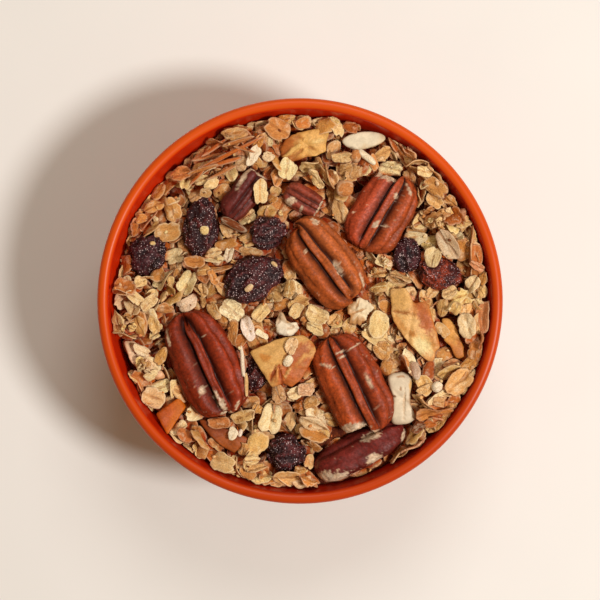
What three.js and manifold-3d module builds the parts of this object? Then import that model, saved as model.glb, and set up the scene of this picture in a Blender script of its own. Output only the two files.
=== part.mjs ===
// A small round bowl filled with granola: oat flakes, and on them pecan halves, raisins,
// coconut chips and nut pieces. Millimetres, +Z up, origin at the middle of the bowl's underside.
import * as THREE from "three";
import { mergeVertices } from "three/addons/utils/BufferGeometryUtils.js";
import Module from "manifold-3d";

const wasm = await Module();
wasm.setup();

// Bowl
const RIM_DIAMETER = 125;
const BOWL_HEIGHT = 55;
const LIP_THICKNESS = 3.5;
const FOOT_OUTER_RADIUS = 31;
const FOOT_INNER_RADIUS = 26.5;
const FOOT_SLANT = 0.8;
const FOOT_HEIGHT = 2.6;
const FLOOR_TOP = 6.2;
const FLOOR_FLAT_RADIUS = 18;
const WALL_LEAN = 3.4;
const WALL_STEPS = 8;
const LIP_STEPS = 5;
const BOWL_SIDES = 48;

// Bare heap under the flakes
const WALL_GAP = 0.35;
const HEAP_EDGE_HEIGHT = 46.3;
const MOUND_RISE = 2.5;
const DIP = { x: -36, y: 38, depth: 4.5, spread: 9 };
const RIPPLE_HEIGHT = 0.7;
const RIPPLE_LENGTH = 5.2;
const CORE_RINGS = BOWL_SIDES / 6;

// Oat flakes, as [least, most]
const FLAKE_COUNT = 280;
const FLAKE_SIDES = 7;
const FLAKE_LENGTH = [6.5, 10.5];
const FLAKE_SLIMNESS = [0.6, 0.82];
const FLAKE_THICKNESS = 1.8;
const FLAKE_LIFT = [0.2, 1];
const FLAKE_TILT = [8, 26];
const FLAKE_TRIES = 8;
const FLAKE_SHIFT = 3.5;
const FLAKE_SHRINK = 0.4;
const HIGHEST_FLAKE = 50.3;
const GOLDEN_ANGLE = 137.508;
const SEED = 20;

// Flakes that lean on the bowl's wall
const LEANING_FROM = 0.9;
const LEANING_TILT = [25, 50];
const LEANING_LIFT = 0.6;

// Toppings. x, y: the middle in plan. turn: the long side from +X, in degrees. size: length,
// width, height. lift: how far the middle stands above the bare heap. tilt raises the far end,
// roll turns a piece about its length, and chipped ends a kernel at that share of its half length.
const SOCKET_GAP = 0.55;
const SOCKET_GROWTH = 1.06;

const PECAN_HALVES = [
  { x: -29.2, y: -19.3, turn: 115, size: [34.4, 19.8, 11.5], lift: 1.6 },
  { x: 7.6, y: 12, turn: 127, size: [30.8, 17.9, 11], lift: 2.2 },
  { x: 25.4, y: 27.4, turn: 60, size: [26, 18, 10.5], lift: 1.6, chipped: 0.9 },
  { x: 16.3, y: -25.6, turn: 116, size: [32.4, 19.4, 11.5], lift: 2.4, chipped: -0.88 },
  { x: 18.6, y: -46.2, turn: 28, size: [30, 17, 10], lift: -2.2, roll: -72 },
];
const PECAN_PIECES = [
  { x: -17.2, y: 33.4, turn: 54, size: [18.6, 9.5, 8], lift: 1.2, roll: 30, chipped: 0.8 },
  { x: 1.6, y: 31, turn: -29.6, size: [13.8, 8, 6], lift: 0.8, chipped: 0.7 },
];
const RAISINS = [
  { x: -47, y: 14.2, turn: 60, size: [12.4, 11.4, 8], lift: 1.4 },
  { x: -30.9, y: 23.7, turn: 84, size: [18.2, 10.8, 7.5], lift: 1.7 },
  { x: -14.6, y: 6.6, turn: 28, size: [19, 13.4, 8.5], lift: 2.2 },
  { x: -10, y: 20.9, turn: 20, size: [11, 10, 7], lift: 1.9 },
  { x: 33.2, y: 14.2, turn: 80, size: [10, 9, 7], lift: 1 },
  { x: 43.8, y: 9, turn: -12, size: [14.4, 10.5, 7], lift: 1.2 },
  { x: -4.3, y: -47.3, turn: 0, size: [12.4, 11.4, 8], lift: 1.4 },
  { x: -12.6, y: -20.8, turn: 80, size: [13, 8, 4.6], lift: -0.9 },
];
const COCONUT_CHIPS = [
  { x: 0.9, y: 48, turn: 25, size: [15, 10, 1.1], curl: 3, lift: 2 },
  { x: 34.2, y: -7, turn: -66, size: [23.6, 13, 1.1], curl: 3.4, lift: 2.2 },
  { x: -6.6, y: -17.2, turn: 8, size: [17.6, 17, 1.1], curl: 2.4, lift: 3, point: 0.4 },
  { x: -38.7, y: -33.6, turn: -108, size: [10.6, 9.2, 1.1], curl: 1.6, lift: 2, tilt: 12 },
  { x: 47.6, y: -11.7, turn: -67, size: [13, 5, 1.1], curl: 1, lift: 1.2 },
  { x: -24.7, y: -42, turn: 8, size: [13.4, 9.4, 1.2], curl: 1.2, lift: 1.2 },
  { x: -47.6, y: -16.6, turn: -56, size: [15, 8, 1.1], curl: 1.6, lift: 1.6 },
];
const ALMOND_SLICE = { x: 19, y: 49.2, turn: 4.5, size: [14.3, 5.6, 1.2], curl: 0.5, lift: 1.6 };
const COCONUT_FLAKE = { x: 19.8, y: -4.2, turn: 40, size: [9, 8.4, 1.2], curl: 1, lift: 1.8 };
const COCONUT_PIECE = { x: -3.4, y: -6.4, turn: 60, size: [7.4, 6.5, 3.4], lift: 0.9 };
const CASHEW_PIECE = { x: 33.6, y: -30, turn: -82, size: [15.4, 8.6, 6.5], lift: 1.2 };

const FINISHES = {
  bowl: { color: 0xd6500a, roughness: 0.2 },
  oats: { color: 0xd5a968, roughness: 0.85 },
  pecan: { color: 0x9a4a22, roughness: 0.55 },
  raisin: { color: 0x3c2023, roughness: 0.6 },
  toastedCoconut: { color: 0xd9a05c, roughness: 0.75 },
  paleNut: { color: 0xe8dbb6, roughness: 0.7 },
};

const radians = THREE.MathUtils.degToRad;

// Repeatable random draws between two limits
function seededDraws(seed) {
  let state = seed;
  return (low, high) => {
    state = (state + 0x6d2b79f5) | 0;
    let mixed = Math.imul(state ^ (state >>> 15), 1 | state);
    mixed = (mixed + Math.imul(mixed ^ (mixed >>> 7), 61 | mixed)) ^ mixed;
    return low + (((mixed ^ (mixed >>> 14)) >>> 0) / 2 ** 32) * (high - low);
  };
}

// ---- joining and cutting ----

function solidOf(geometry) {
  const bare = geometry.clone();
  bare.deleteAttribute("normal");
  bare.deleteAttribute("uv");
  const merged = mergeVertices(bare, 1e-4);
  return new wasm.Manifold(
    new wasm.Mesh({
      numProp: 3,
      vertProperties: new Float32Array(merged.attributes.position.array),
      triVerts: new Uint32Array(merged.index.array),
    }),
  );
}

function geometryOf(solid) {
  const mesh = solid.getMesh();
  const geometry = new THREE.BufferGeometry();
  geometry.setAttribute("position", new THREE.BufferAttribute(mesh.vertProperties, 3));
  geometry.setIndex(new THREE.BufferAttribute(mesh.triVerts, 1));
  geometry.computeVertexNormals();
  return geometry;
}

// ---- bowl: its section, as radius and height ----

const LIP_RADIUS = LIP_THICKNESS / 2;
const LIP_CENTRE = new THREE.Vector2(RIM_DIAMETER / 2 - LIP_RADIUS, BOWL_HEIGHT - LIP_RADIUS);

function wallPoints(topRadius, endRadius, endHeight) {
  const curve = new THREE.CubicBezierCurve(
    new THREE.Vector2(topRadius, LIP_CENTRE.y),
    new THREE.Vector2(topRadius - WALL_LEAN, 0.58 * BOWL_HEIGHT),
    new THREE.Vector2(0.76 * topRadius, endHeight),
    new THREE.Vector2(endRadius, endHeight),
  );
  return curve.getPoints(WALL_STEPS);
}

const INNER_WALL = wallPoints(LIP_CENTRE.x - LIP_RADIUS, FLOOR_FLAT_RADIUS, FLOOR_TOP);
const OUTER_WALL = wallPoints(LIP_CENTRE.x + LIP_RADIUS, FOOT_OUTER_RADIUS, FOOT_HEIGHT);

function bowlGeometry() {
  const lip = [];
  for (let i = 1; i < LIP_STEPS; i++) {
    const angle = (Math.PI * i) / LIP_STEPS;
    const onLip = new THREE.Vector2(Math.cos(angle), Math.sin(angle));
    lip.push(onLip.multiplyScalar(LIP_RADIUS).add(LIP_CENTRE));
  }
  const profile = [
    new THREE.Vector2(0, FOOT_HEIGHT),
    new THREE.Vector2(FOOT_INNER_RADIUS - FOOT_SLANT, FOOT_HEIGHT),
    new THREE.Vector2(FOOT_INNER_RADIUS, 0),
    new THREE.Vector2(FOOT_OUTER_RADIUS - FOOT_SLANT, 0),
    ...OUTER_WALL.toReversed(),
    ...lip,
    ...INNER_WALL,
    new THREE.Vector2(0, FLOOR_TOP),
  ];
  return new THREE.LatheGeometry(profile, BOWL_SIDES).rotateX(Math.PI / 2);
}

// Radius of the bowl's inside at a height
function insideRadius(height) {
  const lower = INNER_WALL.findIndex((point) => point.y <= height);
  if (lower < 1) return lower < 0 ? FLOOR_FLAT_RADIUS : INNER_WALL[0].x;
  const [above, below] = [INNER_WALL[lower - 1], INNER_WALL[lower]];
  const share = (height - below.y) / (above.y - below.y);
  return below.x + share * (above.x - below.x);
}

// ---- bare heap ----

function surfaceHeight(x, y) {
  const reach = Math.hypot(x, y) / (RIM_DIAMETER / 2);
  const fromDip = Math.hypot(x - DIP.x, y - DIP.y) / DIP.spread;
  const dip = DIP.depth * Math.exp(-0.5 * fromDip ** 2);
  const ripple = RIPPLE_HEIGHT * Math.sin(x / RIPPLE_LENGTH + 1) * Math.cos(y / RIPPLE_LENGTH);
  return HEAP_EDGE_HEIGHT + MOUND_RISE * (1 - reach ** 2) - dip + ripple;
}

// The top is a disc of rings with 6, 12, 18 ... points, and the rest lines the bowl's inside.
function coreGeometry() {
  const points = [];
  const faces = [];
  const ringStarts = [];
  const addRing = (count, radiusAndHeight) => {
    ringStarts.push(points.length / 3);
    for (let i = 0; i < count; i++) {
      const angle = (2 * Math.PI * i) / count;
      const [radius, height] = radiusAndHeight(Math.cos(angle), Math.sin(angle));
      points.push(radius * Math.cos(angle), radius * Math.sin(angle), height);
    }
  };
  const edgeRadius = insideRadius(HEAP_EDGE_HEIGHT);
  addRing(1, () => [0, surfaceHeight(0, 0)]);
  for (let ring = 1; ring <= CORE_RINGS; ring++) {
    addRing(6 * ring, (cos, sin) => {
      const radius = (edgeRadius * ring) / CORE_RINGS;
      const height = surfaceHeight(radius * cos, radius * sin);
      return [ring < CORE_RINGS ? radius : insideRadius(height) - WALL_GAP, height];
    });
    const inner = ringStarts[ring - 1];
    const outer = ringStarts[ring];
    const innerCount = 6 * (ring - 1) || 1;
    for (let i = 0; i < 6 * ring; i++) {
      const sector = Math.floor(i / ring);
      const step = i % ring;
      const near = inner + ((sector * (ring - 1) + step) % innerCount);
      const nextNear = inner + ((sector * (ring - 1) + step + 1) % innerCount);
      const nextFar = outer + ((i + 1) % (6 * ring));
      faces.push(near, outer + i, nextFar);
      if (step < ring - 1) faces.push(near, nextFar, nextNear);
    }
  }
  const lining = INNER_WALL.filter((point) => point.y < HEAP_EDGE_HEIGHT - 2 * DIP.depth);
  for (const point of lining) {
    addRing(BOWL_SIDES, () => [point.x - WALL_GAP, point.y + WALL_GAP]);
    const [upper, lower] = ringStarts.slice(-2);
    for (let i = 0; i < BOWL_SIDES; i++) {
      const next = (i + 1) % BOWL_SIDES;
      faces.push(upper + i, lower + i, lower + next, upper + i, lower + next, upper + next);
    }
  }
  addRing(1, () => [0, FLOOR_TOP + WALL_GAP]);
  const [floorRing, floorMiddle] = ringStarts.slice(-2);
  for (let i = 0; i < BOWL_SIDES; i++) {
    faces.push(floorRing + i, floorMiddle, floorRing + ((i + 1) % BOWL_SIDES));
  }
  const geometry = new THREE.BufferGeometry();
  geometry.setAttribute("position", new THREE.Float32BufferAttribute(points, 3));
  geometry.setIndex(faces);
  return geometry;
}

// ---- toppings: each lies along X about its middle; a socket's form is plain ----

function reshaped(geometry, move) {
  const position = geometry.attributes.position;
  const point = new THREE.Vector3();
  for (let i = 0; i < position.count; i++) {
    point.fromBufferAttribute(position, i);
    move(point);
    position.setXYZ(i, point.x, point.y, point.z);
  }
  return geometry;
}

// 1 at no offset, falling to 0 over the width
function bump(offset, width) {
  return Math.exp(-((offset / width) ** 2));
}

// Half a kernel, round side up: a thin middle ridge between two deep furrows, a lobe on each
// side with a shallow furrow along it, blunt ends and a flatter underside.
function pecan({ size: [length, width, height], chipped = 0, plain }) {
  const rows = plain ? 7 : Math.round(4 + length / 8);
  const geometry = new THREE.SphereGeometry(1, plain ? 12 : 20, rows).rotateZ(-Math.PI / 2);
  return reshaped(geometry, (point) => {
    const around = THREE.MathUtils.radToDeg(Math.atan2(point.z, point.y));
    const fromRidge = Math.abs(around - 90);
    const middle = 0.42 * bump(fromRidge - 18, 8) + 0.22 * bump(fromRidge, 9);
    const furrows = plain ? 0 : middle + 0.08 * bump(fromRidge - 54, 9);
    const girth = Math.hypot(point.y, point.z);
    const blunt = girth > 0 ? (1 - Math.abs(point.x) ** 2.5) ** 0.4 / girth : 1;
    const across = blunt * (1 - furrows) * (plain ? SOCKET_GROWTH : 1) * (1 - 0.06 * point.x);
    const along = chipped > 0 ? Math.min(point.x, chipped) : Math.max(point.x, chipped || -1);
    const flatter = point.z < 0 ? 0.62 : 1;
    point.x = (along * length) / 2;
    point.y *= (across * width) / 2;
    point.z *= (across * height * flatter) / 2;
  });
}

// A squashed lump with folds, which differ from piece to piece
function raisin({ size: [length, width, height], x: phase }) {
  return reshaped(new THREE.IcosahedronGeometry(1, 1), (point) => {
    const folds = 0.07 * Math.sin(5 * point.x + phase);
    const dents = 0.06 * Math.sin(6 * point.y - phase) * Math.cos(4 * point.z);
    point.multiplyScalar((0.95 + folds + dents) / 2);
    point.multiply(new THREE.Vector3(length, width, height));
  });
}

// A thin curled slice with narrow ends, the near one narrower by point
function slice({ size: [length, width, thickness], curl, point: narrowing = 0, plain }) {
  const depth = thickness + (plain ? SOCKET_GAP : 0);
  return reshaped(new THREE.BoxGeometry(length, width, depth, 5, 2, 1), (point) => {
    const along = (2 * point.x) / length;
    const across = (2 * point.y) / width;
    point.y *= Math.sqrt(1 - 0.82 * along ** 2) * (1 - narrowing + narrowing * along);
    point.z += curl * (0.6 * (0.5 - along ** 2) + 0.4 * (0.5 - across ** 2));
  });
}

// A short bent bean
function nutPiece({ size: [length, width, height] }) {
  const geometry = new THREE.SphereGeometry(1, 10, 6).rotateZ(-Math.PI / 2);
  return reshaped(geometry, (point) => {
    const bend = 0.35 * point.x ** 2 - 0.15;
    const girth = Math.hypot(point.y, point.z);
    const blunt = girth > 0 ? Math.cbrt(1 - Math.abs(point.x) ** 3) / girth : 1;
    point.x *= length / 2;
    point.y = ((point.y * blunt + bend) * width) / 2;
    point.z *= (blunt * height) / 2;
  });
}

function numbered(name, form, finish, pieces) {
  return pieces.map((piece, i) => ({ ...piece, name: `${name}_${i + 1}`, form, finish }));
}

const TOPPINGS = [
  ...numbered("pecan_half", pecan, "pecan", PECAN_HALVES),
  ...numbered("pecan_piece", pecan, "pecan", PECAN_PIECES),
  ...numbered("raisin", raisin, "raisin", RAISINS),
  ...numbered("coconut_chip", slice, "toastedCoconut", COCONUT_CHIPS),
  { ...ALMOND_SLICE, name: "almond_slice", form: slice, finish: "paleNut" },
  { ...COCONUT_FLAKE, name: "coconut_flake", form: slice, finish: "paleNut" },
  { ...COCONUT_PIECE, name: "coconut_piece", form: raisin, finish: "paleNut" },
  { ...CASHEW_PIECE, name: "cashew_piece", form: nutPiece, finish: "paleNut" },
];

function placeTopping(object, { x, y, turn, tilt = 0, roll = 0, lift }) {
  object.position.set(x, y, surfaceHeight(x, y) + lift);
  object.rotation.order = "ZYX";
  object.rotation.set(radians(roll), radians(-tilt), radians(turn));
  object.updateMatrix();
}

// The room that a topping takes in the heap: its plain form, grown by the gap
function socketOf(topping) {
  const size = topping.size.map((side) => side + 2 * SOCKET_GAP);
  const geometry = topping.form({ ...topping, size, chipped: 0, plain: true });
  const place = new THREE.Object3D();
  placeTopping(place, topping);
  return solidOf(geometry.applyMatrix4(place.matrix));
}

// ---- flakes on the heap ----

// A thin lens with an angular outline, somewhere near a point of the heap. Each further attempt
// strays further and is smaller.
function flakeGeometry(draw, radius, angle, attempt) {
  const stray = (FLAKE_SHIFT * attempt) / FLAKE_TRIES;
  const x = radius * Math.cos(angle) + draw(-stray, stray);
  const y = radius * Math.sin(angle) + draw(-stray, stray);
  const length = draw(...FLAKE_LENGTH) * (1 - (FLAKE_SHRINK * attempt) / FLAKE_TRIES);
  const width = length * draw(...FLAKE_SLIMNESS);
  const leaning = radius > LEANING_FROM * insideRadius(HEAP_EDGE_HEIGHT);
  const tilt = draw(...(leaning ? LEANING_TILT : FLAKE_TILT));
  const lift = draw(...FLAKE_LIFT) + (leaning ? LEANING_LIFT : 0);
  return new THREE.SphereGeometry(0.5, FLAKE_SIDES, 2)
    .rotateX(Math.PI / 2)
    .scale(length, width, FLAKE_THICKNESS)
    .rotateZ(draw(0, 2 * Math.PI))
    .rotateY(radians(-tilt))
    .rotateZ(leaning ? angle : draw(0, 2 * Math.PI))
    .translate(x, y, surfaceHeight(x, y) + lift);
}

function fitsInBowl(geometry) {
  const position = geometry.attributes.position;
  for (let i = 0; i < position.count; i++) {
    const radius = Math.hypot(position.getX(i), position.getY(i));
    const height = position.getZ(i);
    if (height > HIGHEST_FLAKE || radius > insideRadius(height) - 2 * WALL_GAP) return false;
  }
  return true;
}

// Flakes go on a spiral of even spacing, clear of the bowl and the toppings.
function heapGeometry() {
  const draw = seededDraws(SEED);
  const sockets = TOPPINGS.map(socketOf).reduce((joined, socket) => joined.add(socket));
  const reach = insideRadius(HEAP_EDGE_HEIGHT);
  let heap = solidOf(coreGeometry()).subtract(sockets);
  for (let i = 0; i < FLAKE_COUNT; i++) {
    const radius = reach * Math.sqrt((i + 0.5) / FLAKE_COUNT);
    for (let attempt = 1; attempt <= FLAKE_TRIES; attempt++) {
      const geometry = flakeGeometry(draw, radius, radians(GOLDEN_ANGLE * i), attempt);
      if (!fitsInBowl(geometry)) continue;
      const flake = solidOf(geometry);
      if (flake.intersect(sockets).volume() > 0) continue;
      heap = heap.add(flake);
      break;
    }
  }
  // The largest body is the heap: loose flakes and sealed hollows are left out.
  const bodies = heap.decompose().sort((a, b) => b.volume() - a.volume());
  return geometryOf(bodies[0]);
}

// ---- the whole ----

function meshOf(name, geometry, finish) {
  const material = new THREE.MeshStandardMaterial({ ...FINISHES[finish], metalness: 0 });
  const mesh = new THREE.Mesh(geometry, material);
  mesh.name = name;
  return mesh;
}

const bowlOfGranola = new THREE.Group();
bowlOfGranola.add(meshOf("bowl", bowlGeometry(), "bowl"));
bowlOfGranola.add(meshOf("granola_heap", heapGeometry(), "oats"));

const toppings = new THREE.Group();
for (const topping of TOPPINGS) {
  const mesh = meshOf(topping.name, topping.form(topping), topping.finish);
  placeTopping(mesh, topping);
  toppings.add(mesh);
}
bowlOfGranola.add(toppings);

export default bowlOfGranola;
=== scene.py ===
"""Looks for a small orange bowl of granola, seen from straight above.

The oats are laid one by one on a map of heights, so that each rests on those below it. Lengths are
in millimetres up to the point where a mesh is made. Places that follow the view from above are
given in its pixels, 600 across.
"""

import math

import bpy
import numpy as np
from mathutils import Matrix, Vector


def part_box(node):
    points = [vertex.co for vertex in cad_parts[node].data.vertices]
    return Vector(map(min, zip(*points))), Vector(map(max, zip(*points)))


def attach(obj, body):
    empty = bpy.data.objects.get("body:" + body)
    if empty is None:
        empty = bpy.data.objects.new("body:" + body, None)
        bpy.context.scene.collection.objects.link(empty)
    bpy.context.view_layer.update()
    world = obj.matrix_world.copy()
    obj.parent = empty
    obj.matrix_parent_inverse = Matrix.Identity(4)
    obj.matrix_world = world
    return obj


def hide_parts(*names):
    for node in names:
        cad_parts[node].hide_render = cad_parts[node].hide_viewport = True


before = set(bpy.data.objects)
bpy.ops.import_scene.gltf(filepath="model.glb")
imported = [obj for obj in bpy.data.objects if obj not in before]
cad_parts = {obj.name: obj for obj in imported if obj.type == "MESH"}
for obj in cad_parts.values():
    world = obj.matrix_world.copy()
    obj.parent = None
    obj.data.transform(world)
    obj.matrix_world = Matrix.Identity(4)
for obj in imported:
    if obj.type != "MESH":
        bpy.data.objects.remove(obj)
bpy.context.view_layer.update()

# ---- sizes ----

METRES = 0.001

# Camera and the view from above
VIEW_PIXELS = 600
VIEW_CENTRE = (300, 301)
PIXELS_PER_MM = 3.253
CAMERA_ABOVE_RIM = 700

# Bowl, the same section as the solid
RIM_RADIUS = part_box("bowl")[1][0] / METRES
BOWL_HEIGHT = 55.0
LIP_THICKNESS = 3.5
FOOT_OUTER_RADIUS = 31
FOOT_INNER_RADIUS = 26.5
FOOT_SLANT = 0.8
FOOT_HEIGHT = 2.6
FOOT_ROUNDING = 0.25
FLOOR_TOP = 6.2
FLOOR_FLAT_RADIUS = 18
WALL_LEAN = 3.4
WALL_STEPS = 40
LIP_STEPS = 24
BOWL_SIDES = 256
# Radii of two circles that keep the triangles of the flat middle even
MIDDLE_CIRCLE = 8
UNDERSIDE_CIRCLE = 20

# Heap, the same mound as the solid
HEAP_EDGE_HEIGHT = 46.3
MOUND_RISE = 2.5
DIP = {"x": -36, "y": 38, "depth": 4.5, "spread": 9}
RIPPLE_HEIGHT = 0.7
RIPPLE_LENGTH = 5.2
BANK = {"rise": 3.0, "start": 50, "end": 58, "way": -32}
CORE_DEPTH = 3.2
MAP_STEP = 0.3
MAP_REACH = 62
WALL_GAP = 0.25
TOPPING_GAP = 0.5
HIGHEST = 56.0
# How far from the middle of the bowl oats and crumbs are laid
HEAP_REACH = 57
LOWER_REACH = 56.5
CRUMB_REACH = 57.5

# How many oats are laid. Those by the wall go on in two goes, each with its smallest and
# largest distance from the middle.
LOWER_OATS = 800
WALL_OATS = ((170, 53.5, 56.5), (200, 56, 57.5))
UPPER_OATS = 760
SMALL_BITS = 620
CRUMBS = 200

# Seeds and steps of what is spread by rule
SEED = 7
NOISE_CELLS = 32
GOLDEN_ANGLE = math.radians(137.508)
SPOT_TURN = 2.39996
# The grain seed of what has neither crease nor cracks
PLAIN_SEED = 0.02
# How wide the surroundings are that a flake's depth is measured against, for its painted shade
SURROUNDINGS = 1.3
# The two slices that lean on the wall
LEANING_SLICES = ("coconut_chip_4", "coconut_chip_7")

# ---- colours, as seen on a screen ----

TONES = {
    "pale": (230, 207, 161),
    "gold": (226, 194, 138),
    "tan": (217, 173, 113),
    "orange": (208, 140, 78),
    "toasted": (182, 114, 62),
    "brown": (122, 64, 32),
    "pink": (208, 146, 106),
    "white": (238, 222, 192),
}
LOWER_TONES = ["gold", "tan", "tan", "orange", "toasted", "pale"]
UPPER_TONES = ["pale"] * 4 + ["gold"] * 4 + ["tan"] * 2 + ["orange", "toasted"]
CREAM = (250, 228, 196)
DULL_CREAM = (228, 184, 144)
# What the colour of a flake is multiplied by: painted shade deep down among the others,
# and painted shade on its edge and underside
PAINTED_DEPTH_SHADE = (0.74, 0.2, 0.03)
PAINTED_EDGE_SHADE = (0.76, 0.54, 0.36)

# Oats that stand out in the view: pixel across and down, length and width in pixels, turn from
# +X in degrees, tone. A narrow one stands on its edge.
OATS_IN_VIEW = [
    (171, 209, 25, 18, 115, "gold"), (150, 229, 26, 9, 35, "tan"), (165, 232, 28, 22, 20, "gold"),
    (158, 273, 24, 14, 60, "tan"), (139, 283, 16, 15, 20, "gold"), (123, 262, 30, 7, 88, "orange"),
    (135, 227, 21, 6, 75, "orange"), (141, 219, 13, 12, 0, "orange"), (152, 206, 21, 13, 32, "gold"),
    (156, 189, 20, 14, 60, "tan"), (181, 173, 22, 17, 20, "orange"), (218, 142, 26, 9, -12, "orange"),
    (233, 134, 28, 14, 12, "tan"), (283, 118, 20, 9, 5, "orange"), (278, 128, 28, 22, -30, "tan"),
    (268, 155, 13, 11, 30, "pale"), (218, 172, 14, 10, -30, "gold"), (203, 179, 17, 10, 15, "gold"),
    (212, 182, 18, 11, 30, "gold"), (221, 192, 19, 17, 50, "gold"), (197, 192, 24, 9, 38, "tan"),
    (205, 192, 13, 11, 0, "pale"), (275, 190, 13, 11, 10, "tan"), (271, 198, 13, 11, 20, "tan"),
    (287, 168, 24, 19, 80, "pale"), (249, 241, 16, 11, 20, "gold"), (249, 234, 26, 12, 27, "gold"),
    (227, 243, 25, 12, 8, "tan"), (246, 215, 21, 18, 30, "pale"), (265, 213, 22, 16, 25, "pale"),
    (228, 254, 18, 9, 70, "white"), (213, 252, 20, 9, 10, "gold"), (250, 252, 26, 12, -8, "pale"),
    (223, 268, 27, 11, 8, "orange"), (289, 290, 19, 13, 80, "pale"), (289, 270, 24, 14, -65, "tan"),
    (203, 270, 15, 12, 0, "gold"), (196, 262, 23, 13, -10, "tan"), (202, 288, 11, 7, 90, "tan"),
    (213, 277, 18, 9, -60, "orange"), (221, 288, 20, 10, -50, "tan"), (148, 296, 18, 11, 40, "gold"),
    (123, 291, 20, 8, -30, "orange"), (135, 298, 24, 11, -35, "gold"), (173, 256, 20, 19, 40, "pale"),
    (187, 283, 26, 21, 70, "pale"),
    (303, 122, 16, 12, 10, "orange"), (326, 122, 28, 17, 30, "gold"), (353, 122, 21, 12, -30, "orange"),
    (334, 149, 22, 14, 75, "pale"), (383, 153, 22, 13, 20, "tan"), (394, 143, 20, 6, -68, "orange"),
    (404, 149, 18, 5, -45, "orange"), (411, 152, 18, 5, -50, "orange"), (411, 176, 18, 13, -70, "tan"),
    (393, 168, 25, 18, -15, "pale"), (424, 171, 20, 12, 0, "pale"), (415, 162, 27, 5, 8, "tan"),
    (437, 170, 23, 5, -50, "tan"), (436, 200, 20, 14, -40, "tan"), (436, 187, 27, 17, -38, "gold"),
    (420, 196, 23, 5, 86, "tan"), (341, 157, 24, 11, -5, "gold"), (345, 169, 17, 12, 10, "pale"),
    (357, 172, 16, 14, 70, "pale"), (317, 179, 24, 11, -45, "gold"), (328, 178, 28, 4, -68, "tan"),
    (340, 209, 29, 16, 98, "tan"), (437, 219, 32, 17, 15, "gold"), (459, 215, 22, 5, -58, "orange"),
    (415, 237, 25, 20, 30, "pale"), (472, 244, 36, 9, 82, "tan"), (478, 266, 18, 8, -30, "pink"),
    (474, 283, 19, 14, 50, "pale"), (419, 280, 24, 12, -50, "gold"), (401, 277, 24, 10, -14, "tan"),
    (380, 273, 18, 12, 5, "tan"), (378, 287, 23, 12, 0, "pale"), (385, 262, 20, 17, -20, "pale"),
    (433, 292, 15, 12, 60, "tan"), (451, 292, 17, 14, 20, "gold"), (453, 275, 20, 8, -40, "tan"),
    (139, 326, 24, 14, 110, "gold"), (148, 303, 24, 12, 42, "gold"), (163, 308, 20, 12, -10, "tan"),
    (153, 324, 26, 12, 100, "tan"), (185, 303, 23, 18, 30, "pale"), (202, 301, 13, 7, 90, "pale"),
    (232, 311, 28, 20, -40, "pale"), (214, 312, 22, 12, -55, "pale"), (248, 330, 30, 13, -70, "white"),
    (282, 304, 20, 12, 30, "tan"), (261, 312, 22, 15, 55, "gold"), (296, 311, 20, 13, 60, "gold"),
    (232, 334, 28, 12, 92, "tan"), (262, 335, 16, 4, -35, "white"), (138, 379, 27, 8, -28, "orange"),
    (120, 336, 25, 6, -12, "gold"), (181, 394, 24, 15, -25, "tan"), (160, 388, 24, 15, 20, "pale"),
    (151, 400, 26, 20, -30, "gold"), (195, 413, 24, 18, 40, "pale"), (243, 417, 27, 13, 12, "tan"),
    (216, 447, 21, 9, -35, "tan"), (201, 440, 28, 11, -59, "gold"), (184, 436, 21, 14, -30, "pink"),
    (223, 464, 29, 19, -20, "gold"), (256, 446, 28, 20, 60, "tan"), (243, 451, 14, 12, 80, "gold"),
    (250, 403, 20, 12, 10, "gold"), (258, 410, 14, 9, -30, "gold"), (279, 396, 27, 14, -65, "pale"),
    (290, 421, 24, 12, 70, "white"), (271, 419, 33, 22, 80, "pale"), (296, 393, 18, 13, 20, "pale"),
    (299, 406, 14, 12, 40, "orange"), (252, 461, 18, 9, 5, "gold"), (257, 469, 22, 7, 15, "tan"),
    (288, 478, 32, 8, 5, "tan"), (300, 471, 12, 10, 0, "gold"),
    (315, 328, 22, 13, -20, "gold"), (317, 315, 26, 19, -30, "gold"), (333, 321, 15, 11, 50, "tan"),
    (379, 325, 31, 20, 80, "gold"), (387, 368, 20, 13, 70, "tan"), (384, 351, 22, 18, -35, "gold"),
    (455, 309, 17, 11, 60, "tan"), (443, 308, 21, 13, 72, "pale"), (432, 315, 16, 12, 80, "pale"),
    (468, 326, 29, 18, -72, "pale"), (452, 364, 20, 9, 12, "tan"), (445, 354, 21, 16, 10, "gold"),
    (452, 371, 29, 5, 20, "tan"), (457, 375, 22, 5, 28, "tan"), (430, 370, 25, 13, 76, "toasted"),
    (406, 365, 25, 5, -68, "orange"), (455, 400, 18, 9, -10, "orange"), (460, 384, 33, 22, 45, "tan"),
    (426, 389, 18, 8, 25, "tan"), (423, 402, 22, 8, -38, "tan"), (440, 402, 15, 12, 0, "pale"),
    (438, 419, 20, 5, -15, "orange"), (439, 412, 42, 5, 12, "orange"), (419, 427, 17, 12, 30, "brown"),
    (431, 424, 14, 9, 10, "orange"), (412, 448, 28, 7, 32, "pink"), (313, 424, 34, 14, -25, "pale"),
    (306, 390, 23, 13, 10, "white"), (311, 403, 16, 13, 30, "gold"), (305, 370, 22, 14, 80, "pale"),
    (315, 436, 31, 5, -20, "tan"), (333, 449, 24, 11, 40, "tan"), (313, 448, 20, 6, -38, "tan"),
    (309, 463, 16, 11, 70, "gold"), (308, 482, 20, 7, -20, "orange"), (485, 316, 34, 6, 82, "pink"),
    (482, 340, 20, 7, 75, "pink"),
]
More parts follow.
